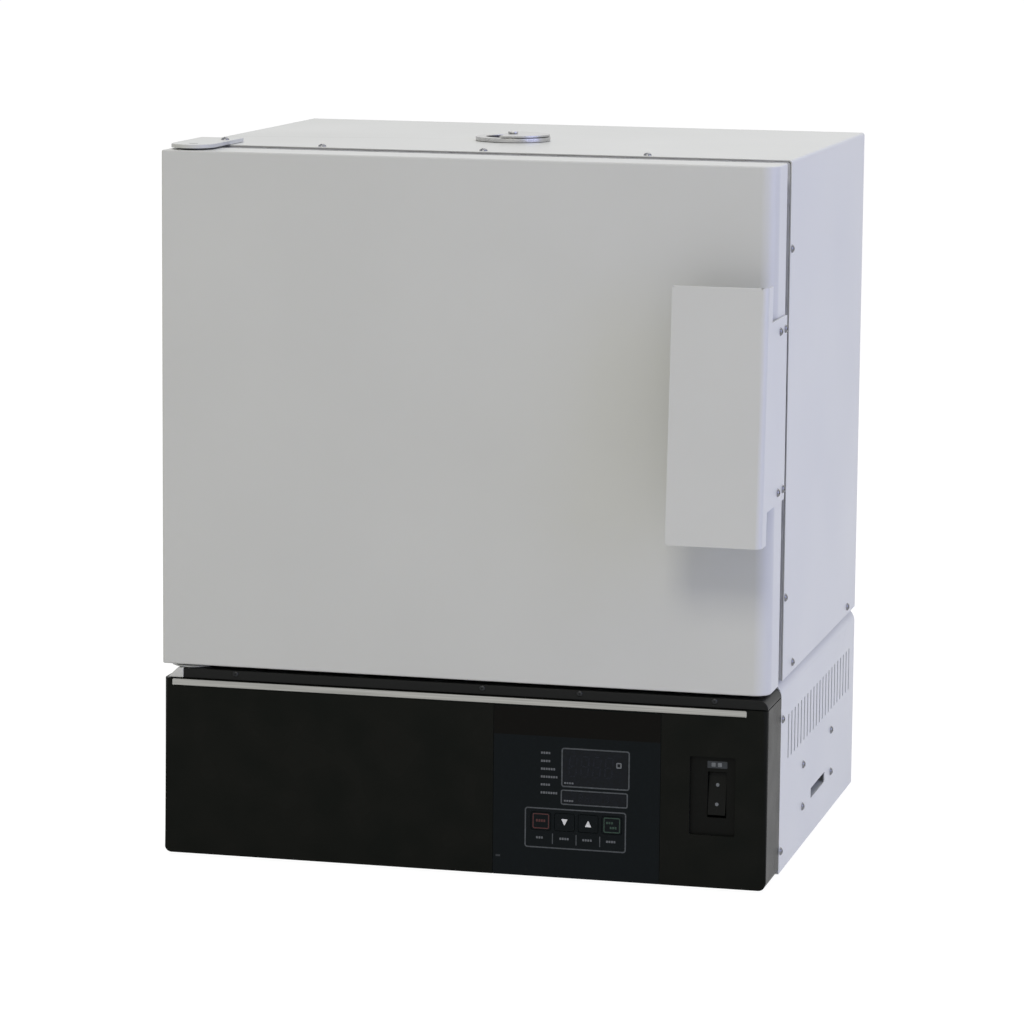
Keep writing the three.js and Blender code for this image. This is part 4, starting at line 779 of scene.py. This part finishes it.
breaker_black = grained_moulding("matt_black_phenolic", ("#0c0d0b", "#10110f"), 0.5, 0.07)
rocker_black = grained_moulding("matt_black_rocker_moulding", ("#0d0e0c", "#121311"), 0.45, 0.09)
finish_node("breaker_body", breaker_black, "black")
finish_node("breaker_rocker", rocker_black, "black", "breaker_rocker", edge=0.8, steps=3)
breaker_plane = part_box("breaker_body")[0].y - FRONT_MIDDLE.y
front_ink("BreakerPlate", [rectangle_ring(*PLATE_PLACE, 0.6)], faint_ink, breaker_plane,
          slot="black", depth=PLATE_DEPTH)
blocks = [rectangle_ring((x, BLOCK_LEVELS[0]), (x + BLOCK_WIDTH, BLOCK_LEVELS[1]), 0.5)
          for x in BLOCK_STARTS]
front_ink("BreakerPlateBlocks", blocks, pale_ink, breaker_plane - PLATE_DEPTH, slot="black")
dot = round_ring(0, 0, DOT_RADIUS, 24)
rocker_dots = flat_shape([[(x * MM, (z + rise) * MM) for x, z in dot] for rise in DOT_RISES],
                         DOT_DEPTH)
rocker_dots.transform(
    Matrix.Translation(FRONT_MIDDLE + ROCKER_PIVOT) @ Matrix.Rotation(ROCKER_TILT, 4, "X")
    @ Matrix.Translation((0, ROCKER_FACE - DOT_DEPTH / 2, 0)) @ Matrix.Rotation(quarter, 4, "X"))
finish_piece("RockerDots", rocker_dots, pale_ink, "black", "breaker_rocker")

# Base side covers: light grey sheets, each folded over a wide shoulder, with a row of vent slots
# and a hand slot. They are screwed to the chassis. A slot is its size in X and Y and its corner.
SHOULDER_BEND = 13.4 * MM
SHEET_EDGE = 0.2
SLOT_CORNER = 1.2 * MM
COVER_SLOT = (39 * MM, 4 * MM, SLOT_CORNER)
COVER_SLOT_PITCH = 15.7 * MM
COVER_SLOT_COUNT = 21
COVER_SLOT_LEVEL = 117.2 * MM
COVER_FIRST_SLOT = 36.7 * MM
GRIP_ALONG = (155 * MM, 227 * MM)
GRIP_LEVELS = (36.8 * MM, 45.9 * MM)
GRIP_CORNER = 1.5 * MM


def grown(source, tree, values):
    """The mesh that a geometry tree makes from a source mesh, with its inputs set by name."""
    inputs = {item.identifier: values[item.name] for item in tree.interface.items_tree
              if item.name in values}
    return evaluated(source, ("NODES", {"node_group": tree, **inputs}))


def start_tree(name, **inputs):
    """An empty geometry tree with named inputs of the given kinds, and its input sockets."""
    tree = bpy.data.node_groups.new(name, "GeometryNodeTree")
    for label, kind in inputs.items():
        tree.interface.new_socket(label.replace("_", " "), in_out="INPUT",
                                  socket_type="NodeSocket" + kind)
    tree.interface.new_socket("Made", in_out="OUTPUT", socket_type="NodeSocketGeometry")
    return tree, add_node(tree, "NodeGroupInput").outputs


def end_tree(tree, geometry, finish):
    """Ends a tree with real geometry in one finish."""
    real = add_node(tree, "GeometryNodeRealizeInstances", {"Geometry": geometry})
    dressed = add_node(tree, "GeometryNodeSetMaterial", {"Geometry": real, "Material": finish})
    add_node(tree, "NodeGroupOutput", {"Made": dressed})


punch, given = start_tree("slot_punch", Outline="Geometry", Slot_Width="Float",
                          Slot_Length="Float", Corner="Float", First_Slot="Vector",
                          Slot_Step="Vector", Slots="Int", Bank_Step="Vector", Banks="Int",
                          Finish="Material")
outline = add_node(punch, "GeometryNodeMeshToCurve", {"Mesh": given["Outline"]})
slot_shape = add_node(punch, "GeometryNodeCurvePrimitiveQuadrilateral",
                      {"Width": given["Slot Width"], "Height": given["Slot Length"]})
slot_eased = add_node(punch, "GeometryNodeFilletCurve",
                      {"Curve": slot_shape, "Count": 3, "Radius": given["Corner"]}, mode="POLY")
bank = add_node(punch, "GeometryNodeMeshLine",
                {"Count": given["Slots"], "Start Location": given["First Slot"],
                 "Offset": given["Slot Step"]}, mode="OFFSET")
banks = add_node(punch, "GeometryNodeMeshLine",
                 {"Count": given["Banks"], "Offset": given["Bank Step"]}, mode="OFFSET")
spread = add_node(punch, "GeometryNodeInstanceOnPoints", {"Points": banks, "Instance": bank})
places = add_node(punch, "GeometryNodeRealizeInstances", {"Geometry": spread})
slots = add_node(punch, "GeometryNodeInstanceOnPoints", {"Points": places, "Instance": slot_eased})
loose = add_node(punch, "GeometryNodeRealizeInstances", {"Geometry": slots})
loops = add_node(punch, "GeometryNodeJoinGeometry", {"Geometry": [outline, loose]})
filled = add_node(punch, "GeometryNodeFillCurve", {"Curve": loops}, mode="NGONS")
end_tree(punch, filled, given["Finish"])


def punched(rings, slot, first, step, count, bank_step=(0, 0, 0), banks=1, finish=grey_paint):
    """A flat blank inside outlines, with banks of slots from a first place on."""
    mesh = bpy.data.meshes.new("outline")
    points, edges = [], []
    for ring in rings:
        start = len(points)
        points += [(x, y, 0) for x, y in ring]
        edges += [(start + i, start + (i + 1) % len(ring)) for i in range(len(ring))]
    mesh.from_pydata(points, edges, [])
    return grown(mesh, punch, {
        "Slot Width": slot[0], "Slot Length": slot[1], "Corner": slot[2], "First Slot": first,
        "Slot Step": step, "Slots": count, "Bank Step": bank_step, "Banks": banks,
        "Finish": finish})


cover_low, cover_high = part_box("base_side_cover_right")
left_cover_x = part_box("base_side_cover_left")[0].x
cover_rise = cover_high.z - cover_low.z - SHOULDER_BEND
cover_flange = cover_high.x - cover_low.x - SHOULDER_BEND
cover_width = cover_flange + quarter * SHOULDER_BEND + cover_rise
for node, foot, way, runs in (
        ("base_side_cover_right", cover_width, -1,
         [(cover_low.x, cover_high.z, 0), (cover_flange, SHOULDER_BEND, -quarter),
          (cover_rise, 0, 0)]),
        ("base_side_cover_left", 0, 1,
         [(left_cover_x, cover_low.z, quarter), (cover_rise, SHOULDER_BEND, -quarter),
          (cover_flange, 0, 0)])):
    ends = sorted(foot + way * (z - cover_low.z) for z in GRIP_LEVELS)
    blank = punched([rectangle_ring((0, 0), (cover_width, cover_high.y - cover_low.y)),
                     rectangle_ring((ends[0], GRIP_ALONG[0]), (ends[1], GRIP_ALONG[1]),
                                    GRIP_CORNER)], COVER_SLOT,
                    (foot + way * (COVER_SLOT_LEVEL - cover_low.z), COVER_FIRST_SLOT, 0),
                    (0, COVER_SLOT_PITCH, 0), COVER_SLOT_COUNT)
    folded = folded_sheet(blank, runs, behind(cover_low.y), PAINTED_SHEET)
    finish_node(node, grey_paint, "paint", edge=SHEET_EDGE, mesh=folded)

# Rear: the cabinet's rear panel and the base's rear cover are flat sheets in the same grey coat.
# One row of vent slots cools the wiring space, two banks cool the base, and the cord gland has a
# hole.
REAR_SLOT = (4 * MM, 30 * MM, SLOT_CORNER)
REAR_SLOT_PITCH = 16 * MM
REAR_SLOT_COUNT = 17
REAR_SLOT_DROP = 60 * MM
REAR_CORNER = 2.5 * MM
BANK_SLOT = (4 * MM, 44 * MM, SLOT_CORNER)
BANK_SLOT_PITCH = 14 * MM
BANK_SLOT_COUNT = 9
BANK_START = 60 * MM
BANK_RISE = 97.7 * MM
GLAND_HOLE = 8.3 * MM


def standing_sheet(blank, front):
    """A flat blank stood upright across the oven, its front face on a plane."""
    blank.transform(Matrix.Translation((0, front, 0)) @ Matrix.Rotation(quarter, 4, "X"))
    sheet = evaluated(blank, ("SOLIDIFY", {"thickness": PAINTED_SHEET, "offset": -1}))
    shape = opened(sheet)
    bmesh.ops.recalc_face_normals(shape, faces=shape.faces)
    return written(shape, sheet)


def top_cornered(low, high, radius):
    """An upright sheet's outline in X and Z with its two top corners rounded."""
    return corner_ring([(low.x, low.z, 0), (high.x, low.z, 0), (high.x, high.z, radius),
                        (low.x, high.z, radius)])


rear_low, rear_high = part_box("cabinet_rear_panel")
rear_blank = punched([top_cornered(rear_low, rear_high, REAR_CORNER)], REAR_SLOT,
                     (FRONT_MIDDLE.x - REAR_SLOT_PITCH * (REAR_SLOT_COUNT - 1) / 2,
                      rear_high.z - REAR_SLOT_DROP - REAR_SLOT[1] / 2, 0),
                     (REAR_SLOT_PITCH, 0, 0), REAR_SLOT_COUNT)
finish_piece("RearPanel", soften(standing_sheet(rear_blank, rear_low.y), SHEET_EDGE * MM),
             grey_paint, "paint", "cabinet", "cabinet_rear_panel")

gland_low, gland_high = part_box("cord_gland")
gland_middle = (gland_low + gland_high) / 2
base_rear_low, base_rear_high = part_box("base_rear_cover")
bank_length = BANK_SLOT_PITCH * (BANK_SLOT_COUNT - 1)
base_blank = punched([top_cornered(base_rear_low, base_rear_high, SHOULDER_BEND),
                      round_ring(gland_middle.x, gland_middle.z, GLAND_HOLE)], BANK_SLOT,
                     (FRONT_MIDDLE.x - BANK_START - bank_length, BANK_RISE + BANK_SLOT[1] / 2, 0),
                     (BANK_SLOT_PITCH, 0, 0), BANK_SLOT_COUNT,
                     (2 * BANK_START + bank_length, 0, 0), 2)
finish_node("base_rear_cover", grey_paint, "paint", edge=SHEET_EDGE,
            mesh=standing_sheet(base_blank, base_rear_low.y))

# Cord gland and feet: the gland is moulded in black nylon, and the feet are moulded in black rubber
# on steel stems. Both are matt.
nylon = grained_moulding("black_nylon", ("#1a1b1b", "#232424"), 0.5, 0.35)
foot_rubber = grained_moulding("matt_black_rubber", ("#161616", "#202020"), 0.82, 0.2)
finish_node("cord_gland", nylon, "rubber", edge=0.5)
for node in ("foot_front_left", "foot_front_right", "foot_rear_left", "foot_rear_right"):
    finish_node(node, foot_rubber, "rubber")

# Folded inner sheets: chassis, supports, top plate, cabinet floor and the frame round the
# chamber's mouth are galvanised, so crystals of zinc about 8 mm wide show. The carrying grips are
# painted.
SPANGLE = 8 * MM


def dress(finish, *nodes):
    """Gives solids that keep their own shape a finish."""
    for node in nodes:
        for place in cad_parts[node].material_slots:
            place.material = finish


def galvanised(name, tones, roughness, metallic):
    """Hot-dip zinc: each crystal has its own grey and its own gloss."""
    started = start_finish(name, tones[1], roughness, metallic)
    _, tree, _, place = started
    crystals = add_node(tree, "ShaderNodeTexVoronoi", {"Vector": place, "Scale": 1 / SPANGLE})
    shade = add_node(tree, "ShaderNodeSeparateColor", {"Color": crystals.outputs["Color"]})
    return follow(started, shade, tones, (roughness - 0.08, roughness + 0.1), spread=(0.0, 1.0))


zinc = galvanised("galvanised_sheet", ("#9c9ea0", "#aaacae"), 0.42, 0.9)
# The mouth frame's copy is drawn whiter and less like a mirror: painted light, so that the shaded
# gap between door and cabinet reads light.
painted_light_zinc = galvanised("galvanised_sheet_with_painted_light", ("#c3c5c7", "#cbcdcf"), 0.5, 0.35)
dress(zinc, "base_chassis", "base_support_left", "base_support_right", "base_top_plate",
      "cabinet_floor")
finish_node("front_frame", painted_light_zinc, "zinc", edge=0.3)
for node in ("carry_grip_right", "carry_grip_left"):
    finish_node(node, grey_paint, "zinc")

# Chamber: a welded liner of brushed stainless sheet with two shelf rails, a slotted cover folded
# from one sheet over the heater, and two probes. Heat has turned it a little warm in colour.
COVER_BEND = 1.5 * MM
COVER_SHEET = 1 * MM
HEATER_SLOT = (6 * MM, 66 * MM, 2.9 * MM)
HEATER_SLOT_COUNT = 12
HEATER_SLOT_ROWS = 3
chamber_steel = brushed_metal("warm_brushed_stainless_sheet", ("#a5a39c", "#bbb9b3"), 0.3, grain=1)
heat_tinted = brushed_metal("heat_tinted_stainless_tube", ("#6f6a60", "#8d877b"), 0.38, grain=1)
finish_node("chamber_liner", chamber_steel, "stainless")
for node in ("shelf_rail_right", "shelf_rail_left"):
    finish_node(node, chamber_steel, "stainless", edge=0.3)
dress(chamber_steel, "exhaust_duct")
dress(heat_tinted, "heater_element", "control_probe", "overheat_probe")

heater_low, heater_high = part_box("heater_cover")
heater_runs, heater_width = hood(heater_low, heater_high, COVER_BEND)
heater_depth = heater_high.y - heater_low.y
slot_pitch = (heater_high.x - heater_low.x) / (HEATER_SLOT_COUNT + 1)
row_depth = heater_depth / HEATER_SLOT_ROWS
heater_blank = punched([rectangle_ring((0, 0), (heater_width, heater_depth))], HEATER_SLOT,
                       (heater_width / 2 - slot_pitch * (HEATER_SLOT_COUNT - 1) / 2,
                        row_depth / 2, 0), (slot_pitch, 0, 0), HEATER_SLOT_COUNT,
                       (0, row_depth, 0), HEATER_SLOT_ROWS, chamber_steel)
heater_sheet = folded_sheet(heater_blank, heater_runs, behind(heater_low.y), COVER_SHEET)
finish_node("heater_cover", chamber_steel, "stainless", edge=SHEET_EDGE, mesh=heater_sheet)

# Shelves: welded wire racks. A heavy wire is bent into the frame, lighter rods are welded across
# it, and the whole is electropolished, which leaves it bright and smooth.
FRAME_WIRE = 2.5 * MM
FRAME_CORNER = 7 * MM
ROD_WIRE = 1.5 * MM
ROD_COUNT = 17

rack, given = start_tree("wire_rack", Width="Float", Depth="Float", Frame_Radius="Float",
                         Corner="Float", Rod_Radius="Float", Rods="Int", Rod_Start="Vector",
                         Rod_End="Vector", First_Rod="Vector", Rod_Step="Vector",
                         Middle="Vector", Finish="Material")
frame_path = add_node(rack, "GeometryNodeCurvePrimitiveQuadrilateral",
                      {"Width": given["Width"], "Height": given["Depth"]})
frame_bent = add_node(rack, "GeometryNodeFilletCurve",
                      {"Curve": frame_path, "Count": 6, "Radius": given["Corner"]}, mode="POLY")
frame_section = add_node(rack, "GeometryNodeCurvePrimitiveCircle",
                         {"Resolution": 12, "Radius": given["Frame Radius"]})
frame_wire = add_node(rack, "GeometryNodeCurveToMesh",
                      {"Curve": frame_bent, "Profile Curve": frame_section})
rod_path = add_node(rack, "GeometryNodeCurvePrimitiveLine",
                    {"Start": given["Rod Start"], "End": given["Rod End"]})
rod_section = add_node(rack, "GeometryNodeCurvePrimitiveCircle",
                       {"Resolution": 8, "Radius": given["Rod Radius"]})
rod = add_node(rack, "GeometryNodeCurveToMesh",
               {"Curve": rod_path, "Profile Curve": rod_section, "Fill Caps": True})
rod_row = add_node(rack, "GeometryNodeMeshLine",
                   {"Count": given["Rods"], "Start Location": given["First Rod"],
                    "Offset": given["Rod Step"]}, mode="OFFSET")
rods = add_node(rack, "GeometryNodeInstanceOnPoints", {"Points": rod_row, "Instance": rod})
welded = add_node(rack, "GeometryNodeJoinGeometry", {"Geometry": [frame_wire, rods]})
seated = add_node(rack, "GeometryNodeTransform",
                  {"Geometry": welded, "Translation": given["Middle"]})
end_tree(rack, seated, given["Finish"])

shelf_wire = brushed_metal("electropolished_stainless_wire", ("#b3b3b1", "#cfcfcd"), 0.17, grain=1)
for node in ("shelf_lower", "shelf_upper"):
    shelf_low, shelf_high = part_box(node)
    middle = (shelf_low + shelf_high) / 2
    width, depth = (side - 2 * FRAME_WIRE for side in (shelf_high - shelf_low)[:2])
    pitch = width / (ROD_COUNT + 1)
    made = grown(bpy.data.meshes.new("rack_seed"), rack, {
        "Width": width, "Depth": depth, "Frame Radius": FRAME_WIRE, "Corner": FRAME_CORNER,
        "Rod Radius": ROD_WIRE, "Rods": ROD_COUNT, "Rod Start": (0, -depth / 2, 0),
        "Rod End": (0, depth / 2, 0), "First Rod": (pitch - width / 2, 0, FRAME_WIRE / 2),
        "Rod Step": (pitch, 0, 0), "Middle": (middle.x, middle.y, shelf_low.z + FRAME_WIRE),
        "Finish": shelf_wire})
    finish_node(node, shelf_wire, "stainless", node, edge=0, mesh=made)

# Door inside: a painted back panel, a raised stainless pan pressed with wide edges, and a gasket
# braided from glass fibre, whose 2 mm strands cross on both slants of the door's plane.
BRAID_STRAND = 2 * MM
started = start_finish("braided_glass_fibre", "#e0dbca", 0.9, Sheen_Weight=0.3)
_, tree, _, place = started
slants = []
for turn in (45, -45):
    laid = add_node(tree, "ShaderNodeMapping",
                    {"Vector": place, "Rotation": (0, math.radians(turn), 0),
                     "Scale": [1 / BRAID_STRAND] * 3})
    slants.append(add_node(tree, "ShaderNodeTexWave",
                           {"Vector": laid, "Scale": 0.32, "Distortion": 0.3}).outputs["Fac"])
crossed = add_node(tree, "ShaderNodeMath", {0: slants[0], 1: slants[1]}, operation="MAXIMUM")
braid = follow(started, crossed, ("#a39e8c", "#e0dbca"), (0.85, 0.95), (crossed, 0.7, 0.4 * MM),
               (0.2, 0.9))
back_paint = powder_coat("dark_grey_powder_coat", ("#37383a", "#3e4042"), 0.45, 0.4)
finish_node("door_back_panel", back_paint, "charcoal", "door", edge=0.3)
finish_node("door_inner_pan", chamber_steel, "stainless", "door", edge=0.45, steps=3)
finish_node("door_gasket", braid, "fibre", "door", edge=1.9, steps=4)

# Hinge pins, bushes and catch: turned steel pins and sleeves, and a sintered ferrite block that
# pulls on the door's back panel.
FINE_LINE = 0.5 * MM
turned_steel = brushed_metal("turned_steel", ("#5f6062", "#7d7e81"), 0.32, 2, FINE_LINE)
for node, body in (("upper_hinge_pin", "cabinet"), ("lower_hinge_pin", "cabinet"),
                   ("upper_hinge_bush", "door"), ("lower_hinge_bush", "door")):
    finish_node(node, turned_steel, "steel", body, edge=0.25)
ferrite = grained_moulding("sintered_ferrite", ("#26272a", "#34363a"), 0.55, 0.35)
finish_node("door_magnet", ferrite, "rubber", edge=0.8, steps=3)

# Inside the walls: slabs of mineral wool, a glazed ceramic terminal strip, the controller's board,
# the relay on its extruded heat sink, and a transformer of stacked steel sheets.
WOOL_FIBRE = 3 * MM
GLAZE_CLOUD = 12 * MM
BOARD_TRACK = 2.5 * MM
CORE_SHEET = 1 * MM


def layered(name, tones, roughness, size, stretch=(1, 1, 1), metallic=0.0):
    """A material whose streaks or layers are of one size, longer along the stretched axes."""
    return noisy_finish(name, tones, roughness, size, detail=3.0, stretch=stretch,
                        bump=(0.5, size * 0.1), metallic=metallic)


# Mineral wool is felted, so its fibres lie flat and it is pale, matt and streaky.
wool = layered("felted_mineral_wool", ("#cfc8b6", "#e9e4d6"), 0.95, WOOL_FIBRE, (8, 1, 8))
# Glazed steatite is white and smooth, with faint clouds.
steatite = layered("glazed_steatite", ("#dedad0", "#f0ede5"), 0.25, GLAZE_CLOUD)
# Solder mask is a glossy green film over the copper tracks.
solder_mask = layered("green_solder_mask", ("#15462a", "#226642"), 0.35, BOARD_TRACK, (6, 1, 1))
# Extruded aluminium shows drawn lines along its fins.
extruded = brushed_metal("extruded_aluminium", ("#92938f", "#adaea9"), 0.38, grain=1)
# Core sheets are stacked and varnished, so thin dark lines part them.
core_steel = layered("varnished_core_sheets", ("#3a3431", "#5d544e"), 0.5, CORE_SHEET, (30, 1, 30),
                     0.5)
dress(wool, "chamber_insulation", "door_insulation")
dress(steatite, "heater_terminals")
dress(solder_mask, "controller_board")
dress(extruded, "relay_heat_sink")
dress(core_steel, "mains_transformer")

# Screws: pan heads with a cross recess, one tree for all of them. Those that hold the handle turn
# with the door; the four in the front rail are blackened. The others are nickel-plated, drawn much
# darker than bright nickel: painted shade on the small heads.
PAN_HEAD = (3.6 * MM, 2.2 * MM)
RAIL_HEAD = (2.6 * MM, 1.2 * MM)
SCREW_RECESS = (3.9 * MM, 1.0 * MM, 1.3 * MM)

screws, given = start_tree("pan_head_screws", Points="Geometry", Head_Size="Vector",
                           Bar_Along="Vector", Bar_Across="Vector", Top="Vector",
                           Under_Size="Vector", Under_Place="Vector", Finish="Material")
ball = add_node(screws, "GeometryNodeMeshUVSphere", {"Segments": 20, "Rings": 12, "Radius": 1.0})
dome = add_node(screws, "GeometryNodeTransform", {"Geometry": ball, "Scale": given["Head Size"]})
cutters = []
for size, place in (("Bar Along", "Top"), ("Bar Across", "Top"), ("Under Size", "Under Place")):
    block = add_node(screws, "GeometryNodeMeshCube", {"Size": given[size]})
    cutters.append(add_node(screws, "GeometryNodeTransform",
                            {"Geometry": block, "Translation": given[place]}))
head = add_node(screws, "GeometryNodeMeshBoolean", {"Mesh 1": dome, "Mesh 2": cutters},
                operation="DIFFERENCE")
facing = add_node(screws, "GeometryNodeInputNamedAttribute", {"Name": "facing"},
                  data_type="FLOAT_VECTOR").outputs["Attribute"]
turned = add_node(screws, "FunctionNodeAlignRotationToVector", {"Vector": facing}, axis="Z")
driven = add_node(screws, "GeometryNodeInstanceOnPoints",
                  {"Points": given["Points"], "Instance": head, "Rotation": turned})
end_tree(screws, driven, given["Finish"])

# Plated heads drawn dark grey instead of bright nickel: painted shade.
shade_darkened_nickel = brushed_metal("nickel_plated_steel_painted_shade", ("#66676b", "#7f8084"), 0.22, line=FINE_LINE)
black_screw = brushed_metal("blackened_screw_steel", ("#2b2c2d", "#3a3b3c"), 0.35, line=FINE_LINE)


def drive_screws(name, heads, finish, body, size=PAN_HEAD):
    """Pan heads at places in millimetres from the front's middle, each with the way it faces. A
    block three radii wide cuts away what would lie under the surface."""
    mesh = bpy.data.meshes.new("screw_places")
    mesh.from_pydata([FRONT_MIDDLE + Vector(place) * MM for place, _ in heads], [], [])
    ways = mesh.attributes.new("facing", "FLOAT_VECTOR", "POINT")
    for item, (_, way) in zip(ways.data, heads):
        item.vector = way
    radius, height = size
    length, width, depth = (value * radius / PAN_HEAD[0] for value in SCREW_RECESS)
    made = grown(mesh, screws, {
        "Head Size": (radius, radius, height), "Bar Along": (length, width, 2 * depth),
        "Bar Across": (width, length, 2 * depth), "Top": (0, 0, height),
        "Under Size": (3 * radius,) * 3, "Under Place": (0, 0, -1.5 * radius),
        "Finish": finish})
    finish_piece(name, made, finish, "steel", body)


HALF_FRONT = 265
REAR_FACE = 441
ROOF_LEVEL = wrapper_high.z / MM
PLATE_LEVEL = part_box("upper_hinge_plate")[1].z / MM
# Where the roof's and the hinge plate's screws are, from the front's middle.
ROOF_SCREWS = [(-147, 77, ROOF_LEVEL), (-4, 77, ROOF_LEVEL), (139, 77, ROOF_LEVEL),
               (-234, 76, PLATE_LEVEL)]
# Depths and heights of the screws in each side.
SIDE_SCREWS = [(72, 539.7), (70, 243), (110, 180), (396, 179), (69, 138), (69, 22.8), (175, 76.5),
               (319, 78.6), (174, 39), (321, 39.4)]
REAR_SCREW_HALF = 254
REAR_SCREW_LEVELS = (22, 128, 196, 400, 596)
HANDLE_SCREW_X = 267
HANDLE_SCREW_DEPTHS = (14, 37)
HANDLE_SCREW_LEVELS = (476, 341)
RAIL_SCREWS = (-201, 18, 103, 219)
RAIL_SCREW_DEPTH = 1
RAIL_SCREW_LEVEL = 164

heads = [(place, (0, 0, 1)) for place in ROOF_SCREWS]
for side in (-1, 1):
    heads += [((side * HALF_FRONT, y, z), (side, 0, 0)) for y, z in SIDE_SCREWS]
    heads += [((side * REAR_SCREW_HALF, REAR_FACE, z), (0, 1, 0)) for z in REAR_SCREW_LEVELS]
drive_screws("CabinetScrews", heads, shade_darkened_nickel, "cabinet")
drive_screws("HandleScrews", [((HANDLE_SCREW_X, y, z), (1, 0, 0)) for y in HANDLE_SCREW_DEPTHS
                              for z in HANDLE_SCREW_LEVELS], shade_darkened_nickel, "door")
drive_screws("RailScrews", [((x, RAIL_SCREW_DEPTH, RAIL_SCREW_LEVEL), (0, -1, 0))
                            for x in RAIL_SCREWS], black_screw, "cabinet", RAIL_HEAD)
